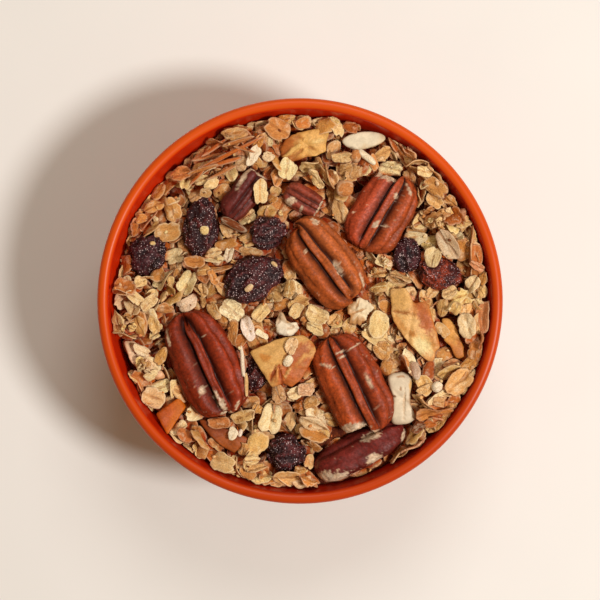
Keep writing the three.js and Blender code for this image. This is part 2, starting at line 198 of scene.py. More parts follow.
# The same for the few that lie on a topping
OATS_ON_TOPPINGS = [
    (253, 155, 26, 11, 64, "white"), (260, 191, 27, 16, 95, "pale"),
    (450, 245, 36, 22, -52, "pale"), (434, 257, 24, 18, 80, "pale"),
    (291, 347, 18, 13, 65, "gold"), (218, 424, 26, 13, 5, "toasted"), (233, 433, 18, 10, 70, "white"),
    (443, 330, 19, 11, -45, "pale"), (150, 364, 24, 15, -30, "pale"), (141, 351, 19, 12, -20, "pale"),
    (160, 357, 21, 11, 60, "gold"), (149, 376, 18, 11, 40, "pale"), (139, 364, 15, 9, 70, "gold"),
]
# Slivers and lumps: the same, then a height in mm
BITS_IN_VIEW = [
    (220, 163, 48, 4.5, 22, 1.6, "strip"), (230, 153, 74, 4, 27, 1.5, "strip"),
    (208, 156, 38, 4, 14, 1.3, "toasted"), (214, 147, 32, 4, 31, 1.3, "strip"),
    (203, 169, 32, 4, 20, 1.3, "toasted"), (238, 141, 34, 4, 18, 1.2, "toasted"),
    (222, 172, 36, 3, 33, 1.1, "toasted"), (197, 177, 24, 3, 40, 1.1, "strip"),
    (244, 149, 22, 3, -12, 1.1, "toasted"), (233, 224, 29, 8, -30, 2.2, "brown"),
    (345, 188, 18, 16, 0, 4, "hazel"), (356, 156, 13, 11, 70, 3.4, "hazel"),
    (367, 157, 22, 7, -42, 1.8, "white"), (242, 362, 32, 4, 92, 1.3, "white"),
    (246, 385, 24, 4, 92, 1.2, "tan"), (437, 387, 11, 10, 40, 3, "white"),
    (416, 371, 20, 10, -80, 2.4, "grey"), (288, 361, 13, 9, 60, 2, "white"),
    (240, 434, 8, 4, 80, 1.2, "white"), (204, 230, 9, 9, 0, 1.4, "crumb"),
    (249, 288, 10, 6, 40, 1.4, "crumb"), (274, 264, 8, 4, -40, 1.2, "crumb"),
    (152, 243, 6, 4, 0, 1.2, "crumb"),
]
BIT_TONES = {**TONES, "hazel": (196, 130, 80), "strip": (188, 98, 38), "grey": (196, 168, 148),
             "crumb": (222, 190, 140)}
# Clusters of small flakes: pixel across and down, size in pixels, tone
CLUSTERS_IN_VIEW = [(124, 320, 22, "gold"), (437, 221, 20, "gold"), (141, 366, 20, "pale"),
                    (385, 263, 15, "pale")]

# ---- shared helpers ----

rng = np.random.default_rng(SEED)


def linear(colour):
    """A screen colour of 0 to 255 as the linear numbers that materials hold."""
    share = np.asarray(colour, float) / 255
    return np.where(share <= 0.04045, share / 12.92, ((share + 0.055) / 1.055) ** 2.4)


def from_view(across, down):
    """The place in plan of a pixel of the view from above."""
    return (across - VIEW_CENTRE[0]) / PIXELS_PER_MM, (VIEW_CENTRE[1] - down) / PIXELS_PER_MM


def noise(points, size, seed):
    """Smooth noise from -1 to 1 at points (n, 2 or 3), in lumps of about the size."""
    points = np.asarray(points, float)
    count = points.shape[1]
    table = np.random.default_rng(seed).uniform(-1, 1, (NOISE_CELLS,) * count)
    at = points / size
    low = np.floor(at).astype(int)
    part = at - low
    part = part * part * (3 - 2 * part)
    total = 0
    for corner in np.ndindex((2,) * count):
        weight = np.prod(np.where(corner, part, 1 - part), axis=1)
        total = total + weight * table[tuple(((low + corner) % NOISE_CELLS).T)]
    return total


def clouds(points, size, seed):
    """The same noise from 0 to 1."""
    return 0.5 + 0.5 * noise(points, size, seed)


def ramp(value, low, high):
    """0 below low, 1 above high, smooth between."""
    part = np.clip((value - low) / (high - low), 0, 1)
    return part * part * (3 - 2 * part)


def bump_at(offset, width):
    """1 in the middle of a groove or ridge, 0 well off it."""
    return np.exp(-((offset / width) ** 2))


def mixed(first, second, share):
    """From first to second, point by point."""
    share = np.asarray(share)[..., None]
    return np.asarray(first) * (1 - share) + np.asarray(second) * share


def turned(points, roll=0, tilt=0, turn=0):
    """Points turned about X, then Y, then Z, in degrees, as the solids are."""
    for degrees, (a, b) in ((roll, (1, 2)), (-tilt, (2, 0)), (turn, (0, 1))):
        angle = math.radians(degrees)
        first = points[:, a] * math.cos(angle) - points[:, b] * math.sin(angle)
        second = points[:, a] * math.sin(angle) + points[:, b] * math.cos(angle)
        points = points.copy()
        points[:, a], points[:, b] = first, second
    return points


def spokes_around(count):
    """The angles of evenly spread spokes."""
    return np.arange(count) * 2 * math.pi / count


def polar(radius, angle):
    """X and Y at a radius and an angle."""
    return radius * np.cos(angle), radius * np.sin(angle)


def capped(loops, spokes):
    """Triangles of a closed form: a first point, closed loops of points, and a last point."""
    loop, spoke = np.meshgrid(np.arange(loops - 1), np.arange(spokes), indexing="ij")
    a = 1 + loop * spokes + spoke
    b = 1 + loop * spokes + (spoke + 1) % spokes
    c, d = a + spokes, b + spokes
    between = np.concatenate([np.stack([a, c, d], -1), np.stack([a, d, b], -1)]).reshape(-1, 3)
    spoke = np.arange(spokes)
    following = (spoke + 1) % spokes
    last = 1 + loops * spokes
    start = last - spokes
    top = np.stack([np.zeros_like(spoke), 1 + spoke, 1 + following], -1)
    bottom = np.stack([np.full_like(spoke, last), start + following, start + spoke], -1)
    return np.concatenate([top, between, bottom])


def sphere(rows, spokes):
    """Points of a unit sphere with its poles on Z, as capped() takes them."""
    row = np.linspace(0, math.pi, rows + 2)[1:-1, None]
    angle = spokes_around(spokes)
    rings = np.stack([*polar(np.sin(row), angle), np.cos(row) + 0 * angle], -1)
    return np.concatenate([[(0, 0, 1)], rings.reshape(-1, 3), [(0, 0, -1)]])


def box_mm(node):
    """The lowest and the highest corner of a node of the part, in mm."""
    return (np.array(corner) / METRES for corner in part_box(node))


def make_piece(name, node, points, faces, finish, tints=None, grain=None):
    """A smooth mesh piece that rides on the root body and replaces a node. points are in mm, tints are
    linear colours, and finish is a material with its slot."""
    material, slot = finish
    mesh = bpy.data.meshes.new(name)
    mesh.vertices.add(len(points))
    mesh.vertices.foreach_set("co", (np.asarray(points) * METRES).astype(np.float32).ravel())
    mesh.loops.add(faces.size)
    mesh.loops.foreach_set("vertex_index", faces.astype(np.int32).ravel())
    mesh.polygons.add(len(faces))
    mesh.polygons.foreach_set("loop_start", np.arange(0, faces.size, 3, dtype=np.int32))
    mesh.update(calc_edges=True)
    mesh.shade_smooth()
    if tints is not None:
        tint = mesh.attributes.new("tint", "FLOAT_COLOR", "POINT")
        tint.data.foreach_set("color", np.c_[tints, np.ones(len(tints))].astype(np.float32).ravel())
    if grain is not None:
        along = mesh.attributes.new("grain", "FLOAT_VECTOR", "POINT")
        along.data.foreach_set("vector", np.asarray(grain, np.float32).ravel())
    mesh.materials.append(material)
    piece = bpy.data.objects.new(name, mesh)
    bpy.context.scene.collection.objects.link(piece)
    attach(piece, "root")
    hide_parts(node)


class Material:
    """A node material that is built up call by call. A tuple is a colour as seen on a screen."""

    def __init__(self, name, **fixed):
        self.material = bpy.data.materials.new(name)
        self.material.use_nodes = True
        self.tree = self.material.node_tree
        self.shader = self.tree.nodes["Principled BSDF"]
        for socket, value in fixed.items():
            self.shader.inputs[socket.replace("_", " ")].default_value = value

    def put(self, socket, value):
        if isinstance(value, bpy.types.NodeSocket):
            self.tree.links.new(value, socket)
        else:
            socket.default_value = (*linear(value), 1.0) if isinstance(value, tuple) else value

    def node(self, kind, *values, settings=None, **named):
        """Adds a node. Its inputs, in order or by name, are values or outputs of other nodes."""
        made = self.tree.nodes.new("ShaderNode" + kind)
        for key, value in (settings or {}).items():
            setattr(made, key, value)
        for key, value in (*enumerate(values), *named.items()):
            self.put(made.inputs[key], value)
        return made

    def maths(self, operation, *values):
        return self.node("Math", *values, settings={"operation": operation}).outputs[0]

    def times(self, first, second):
        return self.maths("MULTIPLY", first, second)

    def plus(self, first, second):
        return self.maths("ADD", first, second)

    def point(self, *parts):
        return self.node("CombineXYZ", *parts).outputs[0]

    def length(self, *parts):
        return self.node("VectorMath", self.point(*parts), settings={"operation": "LENGTH"}).outputs[1]

    def attribute(self, name, output="Color"):
        return self.node("Attribute", settings={"attribute_name": name}).outputs[output]

    def place(self):
        """The point's place on the piece, in mm."""
        at = self.node("TexCoord").outputs["Object"]
        return self.node("VectorMath", at, settings={"operation": "SCALE"}, Scale=1 / METRES).outputs[0]

    def noise(self, vector, scale, detail=3.0, roughness=0.55, distortion=0.0):
        made = self.node("TexNoise", Vector=vector, Scale=scale, Detail=detail, Roughness=roughness,
                         Distortion=distortion)
        return made.outputs["Fac"]

    def between(self, value, low, high, start=0.0, end=1.0):
        smooth = {"interpolation_type": "SMOOTHSTEP"}
        return self.node("MapRange", value, low, high, start, end, settings=smooth).outputs[0]

    def mix(self, share, first, second, blend="MIX"):
        made = self.node("Mix", share, settings={"data_type": "RGBA", "blend_type": blend})
        self.put(made.inputs[6], first)
        self.put(made.inputs[7], second)
        return made.outputs[2]

    def bump(self, height, strength, distance_mm, normal=None):
        made = self.node("Bump", Height=height, Strength=strength, Distance=distance_mm * METRES)
        if normal is not None:
            self.put(made.inputs["Normal"], normal)
        return made.outputs[0]

    def finish(self, colour, normal=None, roughness=None):
        for key, value in (("Base Color", colour), ("Normal", normal), ("Roughness", roughness)):
            if value is not None:
                self.put(self.shader.inputs[key], value)
        return self.material


# ---- materials ----


def glaze_material():
    """Orange glaze with faint turning lines, painted lighter towards +Y and -X as painted light, and a
    darker, deeper red on the wall inside as painted shade and painted reflected red light.
    """
    made = Material("orange_glaze", Roughness=0.34, Specular_IOR_Level=0.2)
    at = made.place()
    x, y, z = made.node("SeparateXYZ", at).outputs
    radius = made.length(x, y)
    rings = made.noise(made.point(radius, z), 1.4, 2)
    patches_and_painted_light = made.plus(made.noise(at, 0.06, 2), made.times(rings, 0.25))
    # Painted light: the glaze is lighter towards +Y and -X, with uneven patches
    across = made.plus(y, made.times(x, -0.3))
    patches_and_painted_light = made.between(made.maths("MULTIPLY_ADD", patches_and_painted_light, 40.0, across), -45, 90)
    lip_edge = RIM_RADIUS - LIP_THICKNESS
    inside = made.between(radius, lip_edge + 0.1, lip_edge + 0.75, 1, 0)
    inside = made.times(inside, made.attribute("tint", "Fac"))
    outer = made.mix(patches_and_painted_light, (180, 58, 6), (208, 78, 12))
    # Painted shade and painted reflected light: the wall inside is a darker, deeper red
    inner = made.mix(patches_and_painted_light, (160, 26, 2), (206, 42, 3))
    return made.finish(made.mix(inside, outer, inner), made.bump(rings, 0.12, 0.3))


def oat_material():
    """Rolled oats: fibres along the flake, a brown crease, fine cracks, bran specks, toasted edges and a
    painted highlight along the rim.
    """
    made = Material("rolled_oats", Roughness=0.62, Specular_IOR_Level=0.12)
    at, tint = made.place(), made.attribute("tint")
    u, v, seed = made.node("SeparateXYZ", made.attribute("grain", "Vector")).outputs
    # How creased, cracked and toasted each flake is, from 0 to 1
    creased, cracked, toasted = (made.maths("FRACT", made.times(seed, way)) for way in (7.3, 5.1, 3.9))
    shift = made.times(seed, 91.7)
    fibres = made.noise(made.point(made.times(u, 1.3), made.times(v, 4.6), shift), 1.0, 3, 0.6)
    on_flake = made.point(u, v, shift)
    patches = made.noise(on_flake, 1.6, 2)

    wobble = made.maths("MULTIPLY_ADD", made.noise(on_flake, 1.1, 1), 0.5, -0.25)
    crease = made.between(made.maths("ABSOLUTE", made.plus(v, wobble)), 0.03, 0.15, 1, 0)
    fades = made.between(made.noise(on_flake, 2.1, 1), 0.38, 0.55, 0.25, 1)
    crease = made.times(crease, made.times(made.between(creased, 0.35, 0.5), fades))
    swirl = made.node("TexNoise", Vector=on_flake, Scale=2.2).outputs["Color"]
    cracks_at = made.node("VectorMath", on_flake, swirl, settings={"operation": "ADD"}).outputs[0]
    cells = made.node("TexVoronoi", settings={"feature": "DISTANCE_TO_EDGE"}, Vector=cracks_at, Scale=1.15)
    cracks = made.between(cells.outputs["Distance"], 0.01, 0.08, 1, 0)
    cracks = made.times(cracks, made.between(cracked, 0.5, 0.8, 0.05, 0.6))
    lines = made.maths("MAXIMUM", crease, cracks)

    rim = made.length(u, v)
    edge = made.maths("MULTIPLY_ADD", made.maths("SUBTRACT", patches, 0.5), 0.9, rim)
    toast = made.times(made.between(edge, 0.72, 1.1), toasted)
    specks = made.between(made.noise(at, 2.6, 2, 0.6), 0.66, 0.74)
    mealy = made.between(made.noise(at, 2.3, 3, 0.7), 0.36, 0.64, 0.82, 1.17)
    # Painted highlight: the rim is lighter where it is not toasted
    painted_rim_light = made.times(made.between(rim, 0.8, 0.97, 0, 0.7), made.maths("SUBTRACT", 1.0, toast))

    light = made.mix(0.4, tint, (242, 230, 198))
    colour = made.mix(made.between(fibres, 0.35, 0.7), tint, (240, 224, 204), "MULTIPLY")
    colour = made.mix(made.between(patches, 0.5, 0.72, 0, 0.75), colour, light)
    colour = made.mix(made.times(toast, 0.45), colour, (168, 98, 48))
    colour = made.mix(made.times(specks, 0.3), colour, (150, 88, 46))
    colour = made.mix(1.0, colour, mealy, "MULTIPLY")
    colour = made.mix(painted_rim_light, colour, light)
    colour = made.mix(made.times(lines, 0.52), colour, (152, 86, 38))
    relief = made.maths("MULTIPLY_ADD", lines, -1.2, made.plus(fibres, patches))
    normal = made.bump(made.noise(at, 2.1, 4, 0.6), 0.7, 0.26, made.bump(relief, 0.65, 0.3))
    return made.finish(colour, normal)


def skin_material(name, mottle, size, roughness, bump):
    """A piece whose mesh holds its colour, broken up by fine mottling."""
    made = Material(name, Roughness=roughness, Specular_IOR_Level=0.22)
    at = made.place()
    fine = made.noise(at, size, 4, 0.65)
    coarse = made.noise(at, size / 3.5, 2)
    dark, faint = ((255 * (1 - share),) * 3 for share in (mottle, 0.6 * mottle))
    shade = made.mix(made.between(fine, 0.3, 0.7), (255, 255, 255), dark)
    shade = made.mix(made.between(coarse, 0.35, 0.65, 0, 0.8), shade, faint, "MULTIPLY")
    colour = made.mix(1.0, made.attribute("tint"), shade, "MULTIPLY")
    rough = made.between(fine, 0.3, 0.7, roughness - 0.1, roughness + 0.12)
    return made.finish(colour, made.bump(fine, bump, 0.3), rough)


def raisin_material():
    """Dark wrinkled skin with a dusting of sugar grains."""
    made = Material("raisin_skin", Roughness=0.42, Specular_IOR_Level=0.22)
    at = made.place()
    wrinkles = made.noise(at, 1.3, 4, 0.6, 0.6)
    grains = made.node("TexVoronoi", Vector=at, Scale=2.0)
    kept = made.node("SeparateColor", grains.outputs["Color"]).outputs[0]
    dust = made.between(made.noise(at, 0.45, 2), 0.35, 0.65, 0.25, 1)
    sugar = made.between(grains.outputs["Distance"], 0.22, 0.42, 1, 0)
    sugar = made.times(made.times(sugar, made.between(kept, 0.35, 0.85)), dust)
    colour = made.mix(made.between(wrinkles, 0.4, 0.7), made.attribute("tint"), (26, 8, 14))
    colour = made.mix(made.times(sugar, 0.95), colour, (236, 208, 206))
    return made.finish(colour, made.bump(sugar, 0.5, 0.2, made.bump(wrinkles, 0.7, 0.6)))


def core_material():
    """What shows deep between the flakes: a dark red-brown that is painted shade."""
    made = Material("granola_core_painted_shade", Roughness=0.85, Specular_IOR_Level=0.2)
    lumps = made.noise(made.place(), 0.7, 4, 0.6)
    colour = made.mix(made.between(lumps, 0.35, 0.65), (74, 22, 6), (124, 56, 22))
    return made.finish(colour, made.bump(lumps, 0.8, 0.8))


def floor_material():
    made = Material("pale_floor", Roughness=0.8, Specular_IOR_Level=0.2)
    return made.finish(made.mix(made.noise(made.place(), 0.02, 2), (226, 224, 221), (232, 230, 227)))


# Each finish: a material and the record's slot
GLAZE = glaze_material(), "bowl_glaze"
OATS = oat_material(), "toasted_oats"
# The core below the flakes, its dark red-brown a painted shade
CORE_PAINTED_SHADE = core_material(), "toasted_oats"
PECAN_SKIN = skin_material("pecan_skin", 0.24, 1.3, 0.44, 0.45), "pecan_skin"
RAISIN_SKIN = raisin_material(), "raisin_skin"
COCONUT = skin_material("toasted_coconut", 0.14, 2.0, 0.45, 0.35), "toasted_coconut"
PALE_NUT = skin_material("pale_nut", 0.06, 1.6, 0.5, 0.16), "pale_nut"

# ---- bowl ----

LIP_RADIUS = LIP_THICKNESS / 2
LIP_CENTRE = np.array([RIM_RADIUS - LIP_RADIUS, BOWL_HEIGHT - LIP_RADIUS])


def wall_points(top_radius, end_radius, end_height):
    """The wall's section from the lip down, as radius and height: one cubic curve."""
    t = np.linspace(0, 1, WALL_STEPS + 1)[:, None]
    corners = np.array([(top_radius, LIP_CENTRE[1]), (top_radius - WALL_LEAN, 0.58 * BOWL_HEIGHT),
                        (0.76 * top_radius, end_height), (end_radius, end_height)])
    return ((1 - t) ** 3 * corners[0] + 3 * (1 - t) ** 2 * t * corners[1]
            + 3 * (1 - t) * t**2 * corners[2] + t**3 * corners[3])


INNER_WALL = wall_points(LIP_CENTRE[0] - LIP_RADIUS, FLOOR_FLAT_RADIUS, FLOOR_TOP)
OUTER_WALL = wall_points(LIP_CENTRE[0] + LIP_RADIUS, FOOT_OUTER_RADIUS, FOOT_HEIGHT)


def inside_radius(height):
    """Radius of the bowl's inside at a height."""
    return np.interp(height, INNER_WALL[::-1, 1], INNER_WALL[::-1, 0])


def past_wall(points):
    """How far points go into the gap that stays free at the wall, at the most."""
    return (np.hypot(*points[:, :2].T) - inside_radius(points[:, 2]) + WALL_GAP).max()


def build_bowl():
    """A turned form, from the middle of the underside out, over the lip and in to the floor inside."""
    angle = np.linspace(0, math.pi, LIP_STEPS + 1)[1:-1]
    lip = LIP_CENTRE + LIP_RADIUS * np.stack(polar(1, angle), -1)
    inner, outer, soft = FOOT_INNER_RADIUS, FOOT_OUTER_RADIUS, FOOT_ROUNDING
    foot = [(MIDDLE_CIRCLE, FOOT_HEIGHT), (UNDERSIDE_CIRCLE, FOOT_HEIGHT),
            (inner - FOOT_SLANT - soft, FOOT_HEIGHT), (inner - FOOT_SLANT, FOOT_HEIGHT - soft),
            (inner - soft / 2, soft), (inner + soft, 0), (outer - FOOT_SLANT - soft, 0),
            (outer - FOOT_SLANT, soft), (outer - soft / 2, FOOT_HEIGHT - soft)]
    profile = np.concatenate([foot, OUTER_WALL[::-1], lip, INNER_WALL, [(MIDDLE_CIRCLE, FLOOR_TOP)]])
    angle = spokes_around(BOWL_SIDES)
    rings = [np.stack([*polar(r, angle), np.full(BOWL_SIDES, z)], -1) for r, z in profile]
    points = np.concatenate([[(0, 0, FOOT_HEIGHT)], *rings, [(0, 0, FLOOR_TOP)]])
    # Points inside the bowl are marked, for the glaze's painted shade there
    is_inside = np.arange(len(profile)) >= len(foot) + len(OUTER_WALL) + LIP_STEPS // 2
    inside = np.concatenate([[0], np.repeat(is_inside, BOWL_SIDES), [1]])
    faces = capped(len(profile), BOWL_SIDES)[:, ::-1]
    make_piece("bowl_glazed", "bowl", points, faces, GLAZE, np.repeat(inside[:, None], 3, axis=1))


# ---- heap ----


def surface_height(x, y):
    """The bare heap, as the solid has it."""
    reach = np.hypot(x, y) / RIM_RADIUS
    from_dip = np.hypot(x - DIP["x"], y - DIP["y"]) / DIP["spread"]
    ripple = RIPPLE_HEIGHT * np.sin(x / RIPPLE_LENGTH + 1) * np.cos(y / RIPPLE_LENGTH)
    return HEAP_EDGE_HEIGHT + MOUND_RISE * (1 - reach**2) - DIP["depth"] * np.exp(-0.5 * from_dip**2) + ripple


def banked_height(x, y):
    """The heap with the loose oats that bank up against the wall, most of all on the right."""
    off = np.cos(np.arctan2(y, x) - math.radians(BANK["way"]))
    bank = BANK["rise"] * ramp(np.hypot(x, y), BANK["start"], BANK["end"]) * ramp(off, -0.9, 0.5)
    return surface_height(x, y) + bank


class HeightMap:
    """How high the heap and the toppings stand at each point in plan, and what the seen oats take."""

    def __init__(self):
        self.cells = int(2 * MAP_REACH / MAP_STEP)
        middles = (np.arange(self.cells) + 0.5) * MAP_STEP - MAP_REACH
        x, y = np.meshgrid(middles, middles, indexing="ij")
        self.heap = banked_height(x, y) - CORE_DEPTH
        self.toppings = np.full_like(self.heap, -1.0)
        self.taken = np.zeros(self.heap.shape, bool)
        for across, down, length, width, turn, _ in OATS_IN_VIEW:
            local = np.stack([x, y], -1) - from_view(across, down)
            cos, sin = math.cos(math.radians(turn)), math.sin(math.radians(turn))
            local = local @ np.array([[cos, -sin], [sin, cos]]) / (length, width) * 2 * PIXELS_PER_MM
            self.taken |= np.hypot(local[..., 0], local[..., 1]) < 0.8

    def index(self, points):
        """The cells that points (n, 2 or 3) lie over, as two arrays."""
        cells = ((points[:, :2] + MAP_REACH) / MAP_STEP).astype(int)
        return tuple(np.clip(cells, 0, self.cells - 1).T)

    def add(self, layer, points):
        np.maximum.at(layer, self.index(points), points[:, 2])

    def add_topping(self, points, faces):
        """Marks the space that a topping takes, by points spread over its faces."""
        corners = points[faces]
        for a, b in ((0, 0), (0.5, 0), (0, 0.5), (0.5, 0.5), (0.25, 0.25), (0.33, 0.6)):
            self.add(self.toppings, corners[:, 0] * (1 - a - b) + corners[:, 1] * a + corners[:, 2] * b)


heights = HeightMap()


def smoothed(grid, spread):
    """A map of heights blurred over a distance in mm."""
    frequency = np.fft.fftfreq(len(grid), MAP_STEP)
    falloff = np.exp(-2 * (math.pi * spread * frequency) ** 2)
    return np.fft.ifft2(np.fft.fft2(grid) * falloff[:, None] * falloff).real


def any_way(draw):
    """A turn in plan, or the phase of a wave."""
    return draw.uniform(0, 2 * math.pi)


def oat_outline(draw, slim, ragged, broken):
    """An uneven oval as a function from angle to radius, for a half length of 1."""
    power = draw.uniform(2.0, 2.7)
    egg = draw.uniform(-0.12, 0.12)
    waves = [(k, ragged * draw.uniform(0.4, 1.3) / k**0.5, any_way(draw)) for k in (2, 3, 4, 5, 7, 10)]
    notches = [(draw.choice([0, math.pi]) + draw.normal(0, 0.12), draw.uniform(0.08, 0.3), 0.13)]
    notches += [(any_way(draw), draw.uniform(0.05, 0.22), draw.uniform(0.08, 0.16)) for _ in range(2)]
    cuts = [(any_way(draw), draw.uniform(0.5, 0.85)) for _ in range(broken)]

    def radius(angle):
        cos, sin = np.cos(angle), np.sin(angle)
        size = (np.abs(cos) ** power + np.abs(sin / slim) ** power) ** (-1 / power)
        size = size * (1 + egg * cos)
        for k, height, phase in waves:
            size = size * (1 + height * np.cos(k * angle + phase))
        for place, depth, width in notches:
            size = size * (1 - depth * bump_at(np.angle(np.exp(1j * (angle - place))), width))
        for place, depth in cuts:
            facing = np.cos(angle - place)
            reach = depth * np.hypot(math.cos(place), slim * math.sin(place))
            size = np.where(facing > 0.05, np.minimum(size, reach / np.maximum(facing, 0.05)), size)
        return size

    return radius


def plate(radius, thickness, spokes, rings, bend, relief):
    """A thin closed plate about the origin. Returns points, faces and places on it from -1 to 1."""
    angle = spokes_around(spokes)
    edge = radius(angle)
    loops = [(share, 1) for share in rings] + [(1.0, 0)] + [(share, -1) for share in rings[::-2]]
    shares = np.concatenate([[0], np.repeat([share for share, _ in loops], spokes), [0]])
    sides = np.concatenate([[1], np.repeat([side for _, side in loops], spokes), [-1]])
    angles = np.concatenate([[0], np.tile(angle, len(loops)), [0]])
    edges = np.concatenate([[0], np.tile(edge, len(loops)), [0]])
    x, y = polar(shares * edges, angles)
    z = sides * thickness / 2 * (1 - shares**8) ** 0.4 + (sides > 0) * relief(x, y, shares)
    points = np.stack([x, y, z + bend(x, y)], -1)
    on_plate = np.stack([*polar(shares, angles), sides], -1)
    return points, capped(len(loops), spokes), on_plate


def crumple(draw, height, length):
    """Four crossing waves, as a function of place."""
    waves = [(draw.normal(0, 1.6 / length, 2), any_way(draw), draw.uniform(0.4, 1)) for _ in range(4)]
    return lambda x, y: height / 4 * sum(a * np.cos(k[0] * x + k[1] * y + phase) for k, phase, a in waves)


# How finely an oat is made: spokes, rings, and points of its footprint
FINE = (30, (0.3, 0.6, 0.82, 0.95), 240)
PLAIN = (18, (0.5, 0.88), 120)


def make_oat(draw, length, width, detail=FINE, ragged=0.05, broken=0, crumpled=0.5):
    """One rolled oat, with the points of its footprint. broken is how many pieces are off it."""
    thickness = draw.uniform(0.4, 0.7)
    half = length / 2
    outline = oat_outline(draw, width / length, ragged, broken)
    cup, arch, twist = draw.normal(0.2, 0.28) / width, draw.normal(0, 0.18) / length, draw.normal(0, 0.03)
    waves = crumple(draw, crumpled, 2.2)
    warp = draw.normal(0, 0.24, 3)
    fine_waves = crumple(draw, 0.05 + 2.5 * ragged, 0.7)
    groove = draw.uniform(0.2, 0.6) * draw.choice([0, 1, 1])

    def bend(x, y):
        a, b = 2 * x / length, 2 * y / width
        modes = (a * a - b * b, a**3 - 3 * a * b * b, 3 * a * a * b - b**3)
        warped = warp[0] * modes[0] + warp[1] * modes[1] + warp[2] * modes[2]
        return cup * y**2 + arch * x**2 + twist * x * y + warped + waves(x, y)

    def relief(x, y, share):
        lobes = -groove * bump_at(y, 0.1 * width) * ramp(1.05 - share, 0, 0.2)
        return lobes + fine_waves(x, y) * ramp(1 - share, 0, 0.25)

    spokes, rings, count = detail
    points, faces, grain = plate(lambda a: half * outline(a), thickness, spokes, rings, bend, relief)
    if draw.random() < 0.35:
        points = points * (1, -1, -1)
    angles = np.arange(count) * SPOT_TURN
    reach = half * outline(angles) * np.sqrt(np.linspace(0.01, 0.99, count))
    spots = np.stack(polar(reach, angles), -1)
    spots = np.c_[spots, bend(*spots.T) + thickness / 2]
    # Painted shade: the flake's edge and underside are darker
    shade = mixed((1, 1, 1), PAINTED_EDGE_SHADE, (grain[:, 2] <= 0).astype(float))
    grain = grain * (1, 1, 0) + (0, 0, draw.random())
    return {"points": points, "faces": faces, "grain": grain, "shade": shade, "spots": spots,
            "thickness": thickness}


class Pile:
    """Loose pieces that share one piece of the scene."""

    def __init__(self, name):
        self.name = name
        self.parts = []

    def add(self, points, faces, grain, colour, shade=1.0):
        self.parts.append((points, faces, grain, np.tile(colour, (len(points), 1)) * shade))

    def add_oat(self, oat, points, spots, colour):
        """Adds an oat that has been laid, and what it covers to the map of heights."""
        self.add(points, oat["faces"], oat["grain"], colour, oat["shade"])
        heights.add(heights.heap, spots)

    def build(self, surface):
        """Makes the piece. Its colours go red-brown where a point lies below the surface around it: painted
        shade.
        """
        starts = np.cumsum([0] + [len(part[0]) for part in self.parts])
        faces = np.concatenate([part[1] + start for part, start in zip(self.parts, starts)])
        points, grain, tints = (np.concatenate([part[i] for part in self.parts]) for i in (0, 2, 3))
        depth = surface[heights.index(points)] - points[:, 2]
        # Painted shade: red-brown, deeper the further a point lies below the surface around it
        tints = tints * mixed((1, 1, 1), PAINTED_DEPTH_SHADE, ramp(depth, -0.2, 1.8))
        make_piece(self.name, "granola_heap", points, faces, OATS, tints, grain)


def axes_for(slope, turn, roll):
    """Rows are a flake's own axes when it lies on a slope, turned in plan, rolled about its length."""
    up = np.array([-slope[0], -slope[1], 1.0])
    up /= np.linalg.norm(up)
    along = np.array([math.cos(turn), math.sin(turn), 0.0])
    along -= up * along.dot(up)
    along /= np.linalg.norm(along)
    across = np.cross(up, along)
    c, s = math.cos(roll), math.sin(roll)
    return np.stack([along, c * across + s * up, c * up - s * across])


def lay(oat, x, y, turn, roll=0.0, steepest=0.6, sink=0.06, on_toppings=False):
    """Rests an oat on the heap at a place in plan. Returns its points and spots in the bowl."""
    c, s = math.cos(turn), math.sin(turn)
    flat = oat["spots"][:, :2] * (1, max(abs(math.cos(roll)), 0.25))
    plan = flat @ np.array([[c, s], [-s, c]])
    cells = heights.index(plan + (x, y))
    under = heights.heap[cells]
    if on_toppings:
        under = np.maximum(under, heights.toppings[cells])
    # The slope that it rests on: a plane through what is below, above all through its high points
    design = np.c_[np.ones(len(plan)), plan]
    weight = np.ones(len(plan))
    for _ in range(3):
        fit = np.linalg.lstsq(design * weight[:, None], under * weight, rcond=None)[0]
        weight = np.where(under > design @ fit, 1.0, 0.3)
    slope = fit[1:]
    steep = np.hypot(*slope)
    if steep > steepest:
        slope = slope * steepest / steep
    base = np.quantile(under - plan @ slope, 1 - sink)
    axes = axes_for(slope, turn, roll)
    depth = np.abs((oat["spots"] * (1, 1, 0)) @ axes)[:, 2].max() if roll else 0
    centre = np.array([x, y, base + oat["thickness"] / 2 + 0.35 * depth])
    points, spots = oat["points"] @ axes + centre, oat["spots"] @ axes + centre
    over = past_wall(points)
    if over > 0:
        inward = -over * np.array([x, y, 0]) / max(np.hypot(x, y), 1)
        points, spots = points + inward, spots + inward
    down = (0, 0, max(points[:, 2].max() - HIGHEST, 0))
    return points - down, spots - down


def clear_of_toppings(spots, most):
    """Whether no more than a share of a flake is over toppings, and that share is well below them."""
    top = heights.toppings[heights.index(spots)]
    inside = top > 0
    return inside.mean() <= most and (spots[:, 2][inside] < top[inside] - TOPPING_GAP).all()


def shade_of(draw, tone, radius, spread=0.07):
    """A flake's own colour: its tone, uneven, redder close to the wall."""
    colour = linear(BIT_TONES[tone]) * draw.normal(1, spread)
    colour = colour * (1, draw.normal(1, 0.03), draw.normal(1, 0.07))
    return np.clip(colour * mixed((1, 1, 1), (1, 0.9, 0.78), ramp(radius, 50, 57)), 0.01, 0.95)


def spiral(count, start=0.0, reach=HEAP_REACH):
    """Places in plan, evenly spread."""
    for i in range(count):
        radius = reach * math.sqrt((i + 0.5) / count)
        angle = start + GOLDEN_ANGLE * i
        yield radius * math.cos(angle), radius * math.sin(angle)


def lowest_near(draw, x, y, spread):
    """Of a few places close by, the one where the heap is furthest below its surface."""
    choices = np.array([(x, y)] + [(x + dx, y + dy) for dx, dy in draw.normal(0, spread, (5, 2))])
    too_far = np.hypot(*choices.T) > HEAP_REACH
    short = banked_height(*choices.T) - heights.heap[heights.index(choices)] - 20 * too_far
    return choices[short.argmax()]


